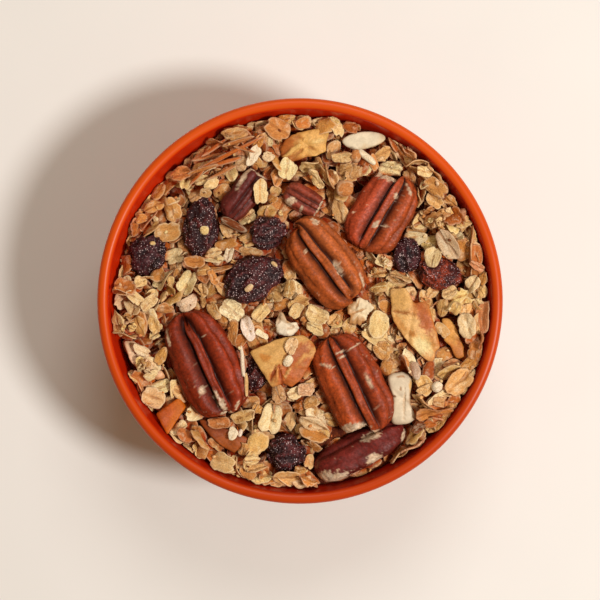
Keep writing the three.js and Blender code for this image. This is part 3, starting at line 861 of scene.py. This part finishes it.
def lay_lower_oats(draw):
    pile = Pile("oats_below")
    for x, y in spiral(LOWER_OATS, reach=LOWER_REACH):
        x, y = lowest_near(draw, x, y, 2.5)
        length = draw.uniform(5.5, 9.5)
        oat = make_oat(draw, length, length * draw.uniform(0.55, 0.8), PLAIN, broken=int(draw.random() < 0.2))
        roll = draw.choice([0, 0, 0, 1]) * draw.uniform(-1, 1)
        points, spots = lay(oat, x, y, any_way(draw), roll)
        if clear_of_toppings(spots, 1.0):
            # The oats below are painted 8% darker, a painted shade
            colour = shade_of(draw, draw.choice(LOWER_TONES), np.hypot(x, y)) * 0.92
            pile.add_oat(oat, points, spots, colour)
    return pile


def lay_wall_oats(draw, count, nearest, furthest, pile):
    """Oats that lean on the wall, most of them nearly on edge."""
    for i in range(count):
        angle = GOLDEN_ANGLE * i + nearest
        radius = draw.uniform(nearest, furthest)
        x, y = radius * math.cos(angle), radius * math.sin(angle)
        length = draw.uniform(5, 8)
        width = length * draw.uniform(0.5, 0.7)
        oat = make_oat(draw, length, width, ragged=draw.uniform(0.04, 0.1), crumpled=0.6)
        turn = angle + math.pi / 2 + draw.normal(0, 0.22)
        points, spots = lay(oat, x, y, turn, -draw.uniform(0.35, 1.25), steepest=0.3, sink=0.25)
        if clear_of_toppings(spots, 0.1) and points[:, 2].max() <= banked_height(x, y) + 3:
            pile.add_oat(oat, points, spots, shade_of(draw, draw.choice(UPPER_TONES), radius))


def lay_upper_oats(draw):
    whole, halves = Pile("oats_whole"), Pile("oats_broken")
    for x, y in spiral(UPPER_OATS, 1.0):
        x, y = lowest_near(draw, x, y, 3)
        length = draw.uniform(5.6, 9.4)
        broken = draw.choice([0, 0, 0, 1, 2])
        ragged = draw.choice([0.05, 0.08, 0.12])
        width = length * draw.uniform(0.52, 0.82)
        oat = make_oat(draw, length, width, FINE, ragged, broken, crumpled=draw.uniform(0.1, 0.6))
        roll = draw.normal(0, 0.5)
        points, spots = lay(oat, x, y, any_way(draw), roll)
        if clear_of_toppings(spots, 0.14) and heights.taken[heights.index(spots)].mean() <= 0.5:
            pile = halves if broken else whole
            pile.add_oat(oat, points, spots, shade_of(draw, draw.choice(UPPER_TONES), np.hypot(x, y)))
    return [whole, halves]


def lay_small_bits(draw):
    """Broken oats, bran shreds and slivers that fill the gaps."""
    pile = Pile("oat_bits")
    for x, y in spiral(SMALL_BITS, 2.0):
        x, y = lowest_near(draw, x, y, 3)
        length = draw.uniform(1.8, 4.6)
        shred = draw.random() < 0.35
        width = draw.uniform(0.7, 1.2) if shred else length * draw.uniform(0.55, 0.9)
        broken = int(draw.integers(0, 3))
        oat = make_oat(draw, length * (1.5 if shred else 1), width, PLAIN, 0.12, broken, crumpled=0.25)
        points, spots = lay(oat, x, y, any_way(draw), draw.normal(0, 0.5), steepest=0.9)
        if clear_of_toppings(spots, 0.1):
            colour = shade_of(draw, draw.choice(UPPER_TONES), np.hypot(x, y), spread=0.12)
            pile.add_oat(oat, points, spots, colour)
    return pile


def lay_seen_oats(draw):
    """The oats that the view shows most clearly, in their own places."""
    pile = Pile("oats_on_top")
    for group, on_toppings in ((OATS_IN_VIEW, False), (OATS_ON_TOPPINGS, True)):
        for across, down, length, width, turn, tone in group:
            x, y = from_view(across, down)
            length, width = length / PIXELS_PER_MM, width / PIXELS_PER_MM
            roll = draw.normal(0, 0.12)
            if width < 0.42 * length:
                flat_width = min(0.6 * length, 5.5)
                roll = math.acos(min(width / flat_width, 1)) * draw.choice([-1, 1])
                width = flat_width
            broken = draw.choice([0, 0, 0, 0, 0, 1])
            oat = make_oat(draw, length, width, FINE, 0.06, broken, crumpled=draw.uniform(0.15, 0.6))
            points, spots = lay(oat, x, y, math.radians(turn), roll, 0.5, 0.1, on_toppings)
            pile.add_oat(oat, points, spots, shade_of(draw, tone, np.hypot(x, y), spread=0.04))
    for across, down, size, tone in CLUSTERS_IN_VIEW:
        x, y = from_view(across, down)
        for _ in range(9):
            dx, dy = draw.normal(0, size / PIXELS_PER_MM / 4.5, 2)
            oat = make_oat(draw, draw.uniform(1.8, 3.2), draw.uniform(1.4, 2.2), PLAIN, 0.08, broken=1)
            points, spots = lay(oat, x + dx, y + dy, draw.uniform(0, 6), draw.normal(0, 0.6), 0.8, sink=0.4)
            pile.add_oat(oat, points, spots, shade_of(draw, tone, np.hypot(x, y), spread=0.1))
    return pile


def lump(draw, length, width, height, spokes=18, rows=9):
    """A small uneven lump, longest along X."""
    points = sphere(rows, spokes)
    points = np.sign(points) * np.abs(points) ** 0.8
    rough = 1 + 0.13 * noise(points + draw.uniform(0, 30, 3), 0.55, SEED)
    return points * rough[:, None] * (length / 2, width / 2, height / 2), capped(rows, spokes)


def lay_bits_in_view(draw):
    """Slivers, nut and coconut crumbs that the view shows."""
    pile = Pile("nut_bits")
    for across, down, length, width, turn, height, tone in BITS_IN_VIEW:
        x, y = from_view(across, down)
        length, width = length / PIXELS_PER_MM, width / PIXELS_PER_MM
        points, faces = lump(draw, length, width, height)
        points[:, 2] += 0.05 * height * np.sin(points[:, 0])
        spots = points[points[:, 2] > 0] * (1, 1, 0)
        body = {"points": points, "spots": spots, "thickness": 0.7 * height}
        placed, _ = lay(body, x, y, math.radians(turn), 0, 0.5, 0.1, on_toppings=True)
        grain = points / (length / 2, width / 2, 1) * (1, 1, 0) + (0, 0, PLAIN_SEED)
        pile.add(placed, faces, grain, shade_of(draw, tone, 0, spread=0.02))
        heights.add(heights.heap, placed)
    return pile


def lay_crumbs(draw):
    """Fine crumbs of oat, nut and sugar."""
    pile = Pile("crumbs")
    for x, y in spiral(CRUMBS, 3.0):
        x, y = x + draw.normal(0, 1), y + draw.normal(0, 1)
        size = draw.uniform(0.5, 1.5)
        points, faces = lump(draw, size, size * draw.uniform(0.5, 0.9), size * 0.6, 7, 3)
        body = {"points": points, "spots": points * (1, 1, 0), "thickness": 0.4 * size}
        placed, _ = lay(body, x, y, draw.uniform(0, 6), 0, 0.9, 0.1)
        on_topping = (heights.toppings[heights.index(placed)] > 0).any()
        if not on_topping and np.hypot(*placed[:, :2].T).max() <= CRUMB_REACH:
            tone = draw.choice(["pale", "gold", "tan", "orange", "brown"])
            grain = points * 0 + (0.3, 0.4, PLAIN_SEED)
            pile.add(placed, faces, grain, shade_of(draw, tone, np.hypot(x, y), spread=0.1))
    return pile


def build_core():
    """The closed body of the heap below the flakes."""
    edge = HEAP_EDGE_HEIGHT - CORE_DEPTH
    reach = float(inside_radius(edge)) - WALL_GAP
    spokes, rings = 180, 60
    angle = spokes_around(spokes)
    loops = []
    for ring in range(1, rings + 1):
        radius = reach * ring / rings
        x, y = polar(radius, angle)
        plan = np.stack([x, y], -1)
        rough = 0.5 * noise(plan, 1.4, 3) + 0.35 * noise(plan, 3, 4)
        z = banked_height(x, y) - CORE_DEPTH + rough
        if ring == rings:
            x, y = (v * (inside_radius(z) - WALL_GAP) / radius for v in (x, y))
        loops.append(np.stack([x, y, z], -1))
    for radius, height in INNER_WALL:
        if height < edge - DIP["depth"] - 2:
            level = np.full(spokes, height + WALL_GAP)
            loops.append(np.stack([*polar(radius - WALL_GAP, angle), level], -1))
    top = (0, 0, surface_height(0, 0) - CORE_DEPTH)
    points = np.concatenate([[top], *loops, [(0, 0, FLOOR_TOP + WALL_GAP)]])
    make_piece("granola_core", "granola_heap", points, capped(len(loops), spokes), CORE_PAINTED_SHADE)


# ---- toppings ----


def seated(points, node):
    """Points moved so that they take the node's place: centred on its box in plan, as high as its top."""
    low, high = box_mm(node)
    middle = (points.min(0) + points.max(0)) / 2
    return points + (*((low + high) / 2 - middle)[:2], high[2] - points[:, 2].max())


def oval_form(rows, spokes):
    """A unit sphere with its poles on X, and how far round from +Z each point lies, in degrees."""
    points = sphere(rows, spokes)[:, ::-1]
    around = np.degrees(np.concatenate([[0], np.tile(spokes_around(spokes), rows), [0]]))
    around = (around + 180) % 360 - 180
    return points, capped(rows, spokes)[:, ::-1], around


def touched(points, mark, low=-1.15, high=-0.8):
    """How far a mark covers each point, 0 to 1. A mark is an uneven ellipse in the view's pixels."""
    across, down, half_long, half_wide, turn = mark[:5]
    local = turned(points - (*from_view(across, down), 0), turn=-turn)
    far = np.hypot(local[:, 0] / half_long, local[:, 1] / half_wide) * PIXELS_PER_MM
    ragged = 0.45 * noise(points, 0.55, 21) + 0.25 * noise(points, 1.3, 22)
    return ramp(-(far + ragged), low, high)


# Each pecan: node, length, width and height, turn, roll, colours of the +Y and -Y lobe, which differ
# partly as the lobes' own colour and partly as painted light and shade; for the +X end and the -X end how
# far the +Y lobe and the -Y lobe reach and how deep the notch between them is; how deep the furrows are;
# which end of which lobe is broken off, as end, lobe and share left; pale scars as ellipses in the view's
# pixels
PECANS = [
    ("pecan_half_1", (34.4, 19.8, 11.5), 115, 0, (140, 47, 20), (160, 56, 26), (1, 0.99, 0.24),
        (0.97, 1, 0.03), 1.15, None, [(202, 391.5, 4.5, 3.2, 90), (216, 395, 6, 2.2, -67),
        (222, 405, 7, 3.2, -60), (237, 406, 6, 1.4, 72), (189.6, 360.5, 1.8, 1.8, 0),
        (167.5, 339, 9, 1.5, -78), (226, 414, 8, 2, 5), (204, 336, 2.4, 1.2, 20)]),
    ("pecan_half_2", (30.8, 17.9, 11), 127, 0, (180, 86, 36), (194, 100, 48), (0.86, 1, 0.08),
        (1, 0.93, 0.1), 1, None, [(338.8, 268, 8.5, 3.2, -60), (304.9, 251.3, 2, 1.4, 0),
        (315, 221, 4, 3, -40), (363, 282, 9, 1.2, -70)]),
    ("pecan_half_3", (26, 18, 10.5), 60, 0, (194, 80, 46), (180, 80, 38), (1, 1, 0.12), (0.93, 1, 0.07),
        1, (1, 1, 0.78), [(384, 173, 9.5, 5.5, -22), (396, 195, 4.5, 1.4, 75), (385, 225, 5, 1.8, 70),
        (376, 224, 4, 2.6, 45), (366.5, 253.5, 3, 2.4, 0), (354, 211.6, 1.8, 1, 0),
        (410, 190, 7, 1.6, -70)]),
    ("pecan_half_4", (32.4, 19.4, 11.5), 116, 0, (184, 78, 32), (168, 68, 33), (0.97, 1, 0.02),
        (1, 0.98, 0.06), 1, (-1, 1, 0.76), [(353, 428, 13, 5, 8), (376, 435, 9, 4.5, 12),
        (355, 346, 7, 0.9, 32), (341, 352, 5.5, 0.9, 18), (342, 357, 4.5, 0.8, 20),
        (328, 366, 6.5, 1.8, -15), (369, 380, 7, 1.5, -65), (377, 407, 3, 1.6, -80)]),
    ("pecan_half_5", (31, 18.5, 12), 28, -64, (130, 45, 37), (127, 43, 36), (1, 1, 0.02), (1, 1, 0.02),
        0.3, None, [(330, 480, 20, 8, 8), (374, 459, 9, 4.5, 28), (359, 478.5, 2.6, 1.8, 0),
        (404, 437, 7, 1.8, 78), (372, 437, 10, 3.5, 20)]),
    ("pecan_piece_1", (18.6, 9.5, 8), 54, 30, (112, 44, 38), (120, 46, 34), (1, 1, 0.05), (1, 1, 0),
        0.7, (1, 0, 0.8), [(258, 164, 7, 3, 30), (243, 177, 15, 2.6, 63), (249, 168, 7, 2, 25)]),
    ("pecan_piece_2", (13.8, 8, 6), -29.6, 0, (150, 66, 46), (158, 70, 50), (1, 1, 0.05), (1, 1, 0),
        0.7, (1, 0, 0.7), [(290, 201, 6, 4, 20), (301, 209, 4, 1.4, 60)]),
]

# Furrows of a pecan: how far round from its ridge they are, and how wide, in degrees
DEEP_FURROW = (19, 8.5)
OUTER_FURROW = (55, 7)


def build_pecan(node, size, turn, roll, left, right, plus_end, minus_end, furrowed, broken, scars, phase):
    """Half a kernel, or a piece of one: lobes, deep furrows, wrinkled skin and pale scars, with painted shade
    in the furrows and a painted highlight along the lobes.
    """
    length, width, height = size
    points, faces, around = oval_form(*((112, 100) if length > 20 else (72, 64)))
    along = points[:, 0]
    line = np.stack([along * length / 2, np.full_like(along, phase)], -1)
    sway = 2.6 * noise(line, 6, 11)
    from_ridge = np.abs(around - sway)
    side = np.where(around > sway, 1, -1)
    deep_at = DEEP_FURROW[0] + 2.5 * noise(np.stack([line[:, 0], phase + 5 * side], -1), 7, 12)
    deep = bump_at(from_ridge - deep_at, DEEP_FURROW[1])
    outer_at = OUTER_FURROW[0] + 7 * noise(np.stack([line[:, 0], phase + 9 * side], -1), 9, 13)
    shallow = bump_at(from_ridge - outer_at, OUTER_FURROW[1]) * np.where(side > 0, 0.5, 1)
    fading = 1 - 0.5 * ramp(-along, 0.7, 0.95)
    furrow = furrowed * (0.52 * deep * fading + 0.2 * bump_at(from_ridge, 8) + 0.085 * shallow)

    # The form: blunt ends, each lobe with its own reach, a notch between them, and a broken end
    girth = np.hypot(points[:, 1], points[:, 2])
    blunt = np.where(girth > 0, (1 - np.abs(along) ** 3.8) ** 0.4 / np.maximum(girth, 1e-6), 1)
    across = blunt * (1 - furrow) * (1 - 0.05 * along)
    is_left = ramp(around, -12, 12)
    ends = np.where(along[:, None] > 0, plus_end, minus_end)
    reach = ends[:, 0] * is_left + ends[:, 1] * (1 - is_left) - ends[:, 2] * bump_at(from_ridge, 21)
    end = along * (1 - ramp(np.abs(along), 0.45, 1) * (1 - reach))
    torn = np.zeros_like(along)
    if broken:
        way, lobe, share = broken
        wanted = np.ones_like(along) if lobe == 0 else ramp(lobe * (around - sway), 8, 22)
        ragged = share + 0.035 * noise(np.stack([around / 9, along * 3], -1), 1, 14)
        limit = 1 - wanted * (1 - ragged)
        torn = ramp(way * along, limit - 0.015, limit + 0.015)
        end = way * np.minimum(way * along, limit + 0.06 * (way * along - limit))
    below = np.where(points[:, 2] < 0, 0.62, 1)
    shape = np.stack([end * length / 2, points[:, 1] * across * width / 2,
                      points[:, 2] * across * height / 2 * below], -1)
    normal = shape / np.array([length, width, height])
    normal /= np.maximum(np.linalg.norm(normal, axis=1), 1e-6)[:, None]
    stretched = turned(shape * (0.35, 1, 1) + phase, 35, 25, 50)
    askew = turned(shape + phase, 40, 30, 20)
    wrinkles = 0.16 * noise(stretched, 1.1, 15) + 0.36 * noise(askew, 3.4, 16) + 0.07 * noise(askew, 0.7, 26)
    pits = -0.22 * ramp(noise(shape + phase, 1.3, 17), 0.45, 0.8)
    craggy = torn * 0.5 * noise(shape + phase, 0.8, 18)
    shape = shape + normal * (wrinkles + pits + craggy)[:, None]
    placed = seated(turned(shape, roll, 0, turn), node)

    # The skin: streaks and blotches, a painted highlight along the lobes, painted shade in the furrows, a
    # dark edge, then scars and flecks
    streaks, blotches = clouds(stretched, 0.8, 19), clouds(askew, 3.2, 20)
    # The two lobes' colours: partly their own, partly painted light and shade that makes one lobe lighter
    skin = mixed(linear(right), linear(left), is_left)
    # Painted highlight: lighter along the top of each lobe
    skin = skin * (0.78 + 0.2 * streaks + 0.2 * blotches + 0.16 * bump_at(from_ridge - 42, 15))[:, None]
    # Painted shade: dark in the furrows
    furrow_painted_shade = furrowed * (0.95 * fading * ramp(deep, 0.2, 0.85) + 0.3 * shallow)
    skin = mixed(skin, linear((52, 12, 5)), np.clip(furrow_painted_shade, 0, 0.97))
    skin = mixed(skin, linear((84, 26, 16)), 0.5 * ramp(from_ridge, 62, 88) * (0.6 + 0.4 * blotches))
    skin = mixed(skin, linear((70, 26, 22)), 0.6 * (1 - furrowed) * ramp(-pits, 0.02, 0.2))
    scar = torn.copy()
    for mark in scars:
        scar = np.maximum(scar, touched(placed, mark) * (placed[:, 2] > placed[:, 2].mean() - 1.5))
    flecks = ramp(noise(placed, 0.45, 23) + 0.35 * noise(placed, 4, 24), 0.84, 1.0)
    scar = np.maximum(scar, 0.5 * flecks * (1 - deep))
    cream = mixed(linear(CREAM), linear(DULL_CREAM), clouds(placed, 0.8, 25))
    tints = mixed(skin, cream, np.clip(scar * 0.92, 0, 1))
    make_piece(node + "_kernel", node, placed, faces, PECAN_SKIN, tints)
    heights.add_topping(placed, faces)


# Each raisin: node, size, turn, how pointed its +X end is, red tint
RAISINS = [
    ("raisin_1", (12.4, 11.4, 8), 60, 0.1, 0.1), ("raisin_2", (18.2, 10.8, 7.5), 84, 0.22, 0.25),
    ("raisin_3", (19, 13.4, 8.5), 28, 0.12, 0.2), ("raisin_4", (11, 10, 7), 20, 0.1, 0.2),
    ("raisin_5", (10, 9, 7), 80, 0.2, 0.1), ("raisin_6", (14.4, 10.5, 7), -12, 0.2, 1.0),
    ("raisin_7", (12.4, 11.4, 8), 0, 0.3, 0.2), ("raisin_8", (13, 8, 4.6), 80, 0.3, 0.35),
]


def build_raisin(node, size, turn, pointed, red, phase):
    """A dried grape: deep folds, fine wrinkles, and painted shade in the hollows between the folds."""
    points, faces, _ = oval_form(76, 70)
    form = points * np.array(size) / 2
    form[:, 1:] *= (1 - pointed * ramp(points[:, 0], -0.2, 1.1))[:, None]
    stretched = form * (0.5, 1, 1)
    folds = 0.8 * (1 - np.abs(noise(turned(stretched + 3.3 * phase, 30, 20, 40), 2.1, 31)) ** 0.7 * 1.6)
    fine = 0.32 * (1 - np.abs(noise(turned(form + phase, 40, 25, 15), 1.1, 32)) ** 0.8 * 1.6)
    dents = 0.6 * noise(form + phase, 4.5, 33)
    form = form + points * (folds + fine + dents - 0.45)[:, None]
    placed = seated(turned(form, turn=turn), node)
    skin = mixed(linear((72, 30, 40)), linear((168, 66, 38)), red)
    skin = skin * (0.85 + 0.3 * noise(placed, 2, 34))[:, None]
    # Painted shade: darker in the hollows between the folds
    fold_painted_shade = mixed(linear((24, 8, 13)), linear((74, 26, 22)), red)
    tints = mixed(fold_painted_shade, skin, ramp(folds + fine, 0.05, 0.95))
    make_piece(node + "_wrinkled", node, placed, faces, RAISIN_SKIN, np.clip(tints, 0.002, 1))
    heights.add_topping(placed, faces)


# Each slice: node, outline in the view's pixels, thickness, curl, how ragged and how crumpled it is,
# colours of face and toasted part, share that is toasted, the side on which it is, in degrees
SLICES = [
    ("coconut_chip_1", [(279, 148), (284, 139), (293, 133), (308, 129), (326, 126), (329, 133), (326, 144),
        (327, 150), (316, 155), (306, 156), (297, 160), (285, 161)], 0.9, 3, 0.04, 0.8, (234, 178, 98),
        (184, 104, 44), 0.16, 200),
    ("coconut_chip_2", [(390, 288), (408, 288), (411, 299), (416, 304), (419, 302), (429, 303), (432, 315),
        (438, 333), (441, 348), (436, 352), (437, 359), (429, 363), (418, 352), (405, 338), (393, 320)],
        0.9, 3.4, 0.03, 0.9, (246, 194, 124), (212, 130, 66), 0.3, 20),
    ("coconut_chip_3", [(249, 352), (262, 346), (276, 340), (290, 336.5), (304, 335), (315, 344),
        (317, 352), (309, 366), (301, 380), (292, 388), (283, 384), (272, 388)],
        0.9, 2.4, 0.02, 0.8, (230, 176, 102), (198, 108, 50), 0.3, -50),
    ("coconut_chip_4", [(153, 416), (177, 399), (183.5, 409), (165, 437.6)],
        1.0, 1.6, 0.02, 0.3, (210, 106, 14), (186, 80, 10), 0.5, 150),
    ("coconut_chip_5", [(442.7, 318.5), (450.6, 318.5), (457, 326.4), (465, 347.3), (466.3, 359),
        (457, 359), (452, 347.3), (445.3, 340.8)], 1.1, 1, 0.03, 0.6, (234, 166, 84), (206, 126, 58),
        0.4, -60),
    ("coconut_chip_6", [(196.7, 420.5), (204.6, 420.5), (249, 440), (247.7, 444), (233.4, 454.5),
        (221.6, 448), (208.5, 436.2)], 1.2, 1.2, 0.03, 0.5, (172, 88, 36), (148, 68, 26), 0.5, 90),
    ("coconut_chip_7", [(122, 341), (132, 341), (147, 353), (165, 378), (156, 381), (143, 373.4),
        (130, 363), (125, 351)], 1.1, 1.6, 0.03, 0.6, (252, 208, 166), (232, 164, 110), 0.25, 0),
    ("almond_slice", [(342, 139.5), (345, 136.3), (350, 133.5), (357, 131.3), (364, 130.3), (372, 130.2),
        (379, 131.3), (384, 133.3), (386.5, 135.8), (386, 138.5), (382, 142), (376, 144.8), (368, 147.3),
        (360, 148.8), (353, 148.8), (347.5, 146), (344, 143)], 1.2, 0.6, 0.004, 0.03, (232, 217, 186),
        (216, 192, 152), 0.12, -60),
    ("coconut_flake", [(346.6, 308), (350, 302.8), (360.4, 297.6), (368.2, 300.2), (376, 306.8),
        (368.2, 314.6), (367, 319.8), (363, 322.5), (360.4, 325.7), (348.6, 323), (350, 317.2)],
        1.2, 1, 0.12, 1.0, (238, 217, 180), (190, 136, 82), 0.35, 200),
    ("cashew_piece", [(388, 377), (392, 374), (403, 372.5), (411, 375), (413, 383), (411, 395),
        (411.5, 405), (414, 412), (418, 419), (410, 424), (398, 426), (391, 423), (393, 410), (393, 396),
        (389, 386)], 4.2, 0.6, 0.02, 0.5, (222, 203, 174), (182, 134, 88), 0.12, 0),
    ("coconut_piece", [(279, 311), (284, 313), (286, 320), (291, 323), (297, 321), (299, 329), (293, 336),
        (284, 337), (276, 333), (275, 325), (277, 318)], 2.2, 1.4, 0.06, 1.2, (236, 218, 190),
        (206, 160, 112), 0.16, 100),
]

# Marks on slices: pixel across and down, half length and half width in pixels, turn in degrees, colour,
# and how far the slice rises there, in mm. Some of them are painted shade and painted highlights.
MARKS = {
    "coconut_chip_1": [
        (286, 144, 10, 7, 45, (188, 102, 42), 0), (284, 156, 7, 5, 60, (146, 68, 24), -0.3),
        # On coconut_chip_1 the light line on the fold is a painted highlight, and the dark line below it a
        # painted shadow
        (293, 149, 14, 2.2, 40, (242, 192, 112), 0.6), (297, 153, 13, 1.5, 40, (180, 114, 56), -0.4),
        (318, 140, 7, 2, 15, (244, 204, 130), 0.3), (312, 147, 8, 1.4, -20, (196, 132, 66), -0.2),
    ],
    "coconut_chip_2": [
        (401, 299, 12, 11, 0, (230, 176, 100), 0.3), (402, 312.5, 11, 1.6, -8, (172, 100, 44), -0.5),
        (425, 318, 19, 6, -68, (180, 90, 38), 0.1), (399, 325, 10, 7, -50, (226, 158, 84), 0),
        (423, 346, 11, 7.5, -50, (240, 218, 154), -0.2), (410, 349, 4, 1.8, -50, (160, 88, 36), 0),
        (413, 334, 4, 3, 0, (206, 132, 60), 0.2), (435, 347, 6, 2.5, -72, (206, 138, 66), 0.2),
    ],
    "coconut_chip_3": [
        (265, 358, 7, 4, -40, (214, 138, 62), 0), (299, 353, 20, 6.5, 36, (176, 84, 34), -0.2),
        (281, 375, 12, 9, 10, (194, 98, 42), 0.1), (273, 374, 9, 1.6, 72, (140, 58, 20), -0.6),
        (281, 377, 9, 1.5, 100, (150, 62, 22), -0.6), (288, 372, 8, 1.5, 60, (234, 182, 112), 0.5),
        (277, 377, 7, 1.3, 85, (228, 160, 90), 0.4),
    ],
    "cashew_piece": [
        (401, 377, 5, 1, 0, (176, 118, 66), -0.2), (401, 389, 1.2, 1.8, 0, (160, 110, 66), -0.3),
        (404.5, 405, 13, 1.3, 88, (206, 176, 142), -0.45), (393.5, 397, 3, 1.2, 10, (150, 100, 56), -0.5),
        (411, 384, 8, 1.6, 88, (220, 168, 92), 0),
    ],
    "coconut_piece": [
        # On coconut_piece the two darker dents are painted shade and the lighter rise a painted highlight
        (279, 318, 7, 1.4, 80, (196, 164, 132), -0.4), (290, 328, 7, 1.5, 15, (214, 184, 152), -0.4),
        (284, 332, 5, 3, 20, (242, 228, 204), 0.4),
    ],
    "coconut_flake": [
        (360, 311, 8, 1.1, 20, (190, 140, 90), -0.3), (358, 304, 6, 1, 70, (196, 148, 98), -0.3),
        (356, 321, 5, 1.2, 60, (206, 158, 104), -0.3),
    ],
}


def polygon_radius(corners, centre, ragged, seed):
    """Radius of a polygon about a point inside it, as a function of the angle."""
    from_centre = np.array(corners) - centre

    def radius(angle):
        best = np.full(angle.shape, np.inf)
        way = np.stack(polar(1, angle), -1)
        for a, b in zip(from_centre, np.roll(from_centre, -1, axis=0)):
            side = b - a
            down = way[:, 0] * side[1] - way[:, 1] * side[0]
            down = np.where(np.abs(down) < 1e-9, 1e-9, down)
            far = (a[0] * side[1] - a[1] * side[0]) / down
            share = (a[0] * way[:, 1] - a[1] * way[:, 0]) / down
            best = np.where((far > 0) & (share >= -1e-6) & (share <= 1 + 1e-6), np.minimum(best, far), best)
        smooth = (np.roll(best, 1) + 2 * best + np.roll(best, -1)) / 4
        return smooth * (1 + ragged * noise(4 * way, 0.6, seed))

    return radius


def build_slice(node, outline, thickness, curl, ragged, crumpled, face, toasted, share, side, phase):
    """A thin curled slice of coconut or nut, toasted in patches and along its edge."""
    low, high = box_mm(node)
    corners = np.array([from_view(*corner) for corner in outline])
    centre = (corners.min(0) + corners.max(0)) / 2
    size = np.ptp(corners, axis=0)
    radius = polygon_radius(corners, centre, ragged, 40 + phase)
    draw = np.random.default_rng(100 + phase)
    waves, fine = crumple(draw, crumpled, 3), crumple(draw, 0.2 * crumpled, 0.9)
    fold_way, fold_at = draw.uniform(0, math.pi), draw.uniform(-0.15, 0.15) * size.min()

    def bend(x, y):
        rounded = 0.6 * (0.5 - (2 * x / size[0]) ** 2) + 0.4 * (0.5 - (2 * y / size[1]) ** 2)
        from_fold = np.abs(x * math.cos(fold_way) + y * math.sin(fold_way) - fold_at)
        return 0.6 * curl * rounded + waves(x, y) - 0.5 * crumpled * bump_at(from_fold, 0.7)

    rings = tuple(np.linspace(0.07, 0.98, 14))
    points, faces, on_slice = plate(radius, thickness, 96, rings, bend, lambda x, y, shares: fine(x, y))
    outward = centre / max(np.hypot(*centre), 1)
    if node in LEANING_SLICES:
        rise = np.clip((high[2] - low[2]) - np.ptp(points[:, 2]), -0.6, 1.5)
        points[:, 2] += 2 * rise / size.max() * (points[:, :2] @ outward)
    placed = points + (*centre, high[2] - points[:, 2].max())
    over = past_wall(placed)
    if over > 0:
        placed[:, :2] -= over * outward

    rim = ramp(np.hypot(*on_slice[:, :2].T), 0.8, 1.0)
    patches = 0.5 + 0.3 * noise(placed, 3.2, 50 + phase) + 0.16 * noise(placed, 1.1, 51)
    to_side = on_slice[:, 0] * math.cos(math.radians(side)) + on_slice[:, 1] * math.sin(math.radians(side))
    toast = ramp(patches + 0.1 * rim + 0.7 * to_side, 0.75 - share, 1.3 - share)
    light = 0.88 + 0.2 * clouds(placed, 1.6, 52)
    tints = mixed(linear(face), linear(toasted), toast) * light[:, None]
    # Each mark paints its colour and raises or dents the slice; some marks are painted shade and painted
    # highlights
    for mark in MARKS.get(node, []):
        cover = touched(placed, mark, -1.3, -0.6)
        tints = mixed(tints, linear(mark[5]), 0.85 * cover)
        placed[:, 2] += mark[6] * cover
    finish = COCONUT if node.startswith("coconut_chip") else PALE_NUT
    make_piece(node + "_slice", node, placed, faces, finish, np.clip(tints, 0, 0.95))
    heights.add_topping(placed, faces)


# ---- floor, light and camera ----


def build_floor():
    bpy.ops.mesh.primitive_plane_add(size=4, location=(0, 0, 0))
    floor = bpy.context.object
    floor.name = "floor"
    floor.data.materials.append(floor_material())


# Lamps: name, place and size in mm, power in watts, colour
LAMPS = [
    ("key", (540, -150, 920), 200, 9.2, (1.0, 0.97, 0.93)),
    ("fill", (120, 600, 860), 500, 3.4, (1.0, 0.96, 0.92)),
]
SKY_COLOUR = (1.0, 0.73, 0.46, 1)
SKY_STRENGTH = 0.26


def add_light(name, place_mm, size_mm, power, colour):
    """A round lamp that points at the middle of the rim."""
    light = bpy.data.lights.new(name, "AREA")
    light.shape = "DISK"
    light.size = size_mm * METRES
    light.energy = power
    light.color = colour
    lamp = bpy.data.objects.new(name, light)
    bpy.context.scene.collection.objects.link(lamp)
    place = np.array(place_mm, float)
    lamp.location = place * METRES
    way = np.array([0, 0, BOWL_HEIGHT]) - place
    tilt = math.acos(-way[2] / np.linalg.norm(way))
    lamp.rotation_euler = (tilt, 0, math.atan2(way[1], way[0]) - math.pi / 2)


def light_scene():
    """A warm sky, one main lamp on the right and a weaker one at the back."""
    world = bpy.data.worlds.new("studio")
    bpy.context.scene.world = world
    world.use_nodes = True
    background = world.node_tree.nodes["Background"]
    background.inputs["Color"].default_value = SKY_COLOUR
    background.inputs["Strength"].default_value = SKY_STRENGTH
    for lamp in LAMPS:
        add_light(*lamp)


def place_camera():
    """A camera straight above the middle of the view, at the view's scale on the rim."""
    camera = bpy.data.objects.new("camera", bpy.data.cameras.new("camera"))
    bpy.context.scene.collection.objects.link(camera)
    width = VIEW_PIXELS / PIXELS_PER_MM
    middle = from_view(VIEW_PIXELS / 2, VIEW_PIXELS / 2)
    camera.location = (middle[0] * METRES, middle[1] * METRES, (BOWL_HEIGHT + CAMERA_ABOVE_RIM) * METRES)
    camera.data.lens = camera.data.sensor_width * CAMERA_ABOVE_RIM / width
    bpy.context.scene.camera = camera
    bpy.context.scene.view_settings.view_transform = "Standard"


# ---- the whole ----

build_bowl()
# Each topping has a phase of its own, so that no two are alike
for build, pieces, step in ((build_pecan, PECANS, 13.7), (build_raisin, RAISINS, 7.1),
                            (build_slice, SLICES, 1)):
    for order, piece in enumerate(pieces):
        build(*piece, phase=step * order)
build_core()
by_wall = Pile("oats_by_wall")
piles = [lay_lower_oats(rng), lay_small_bits(rng)]
lay_wall_oats(rng, *WALL_OATS[0], by_wall)
piles += lay_upper_oats(rng)
lay_wall_oats(rng, *WALL_OATS[1], by_wall)
piles += [by_wall, lay_seen_oats(rng), lay_bits_in_view(rng), lay_crumbs(rng)]
# The surface around each point, that the painted shade of the oats is measured from
surface_for_painted_shade = smoothed(np.maximum(heights.heap, heights.toppings), SURROUNDINGS)
for made in piles:
    made.build(surface_for_painted_shade)
build_floor()
light_scene()
place_camera()
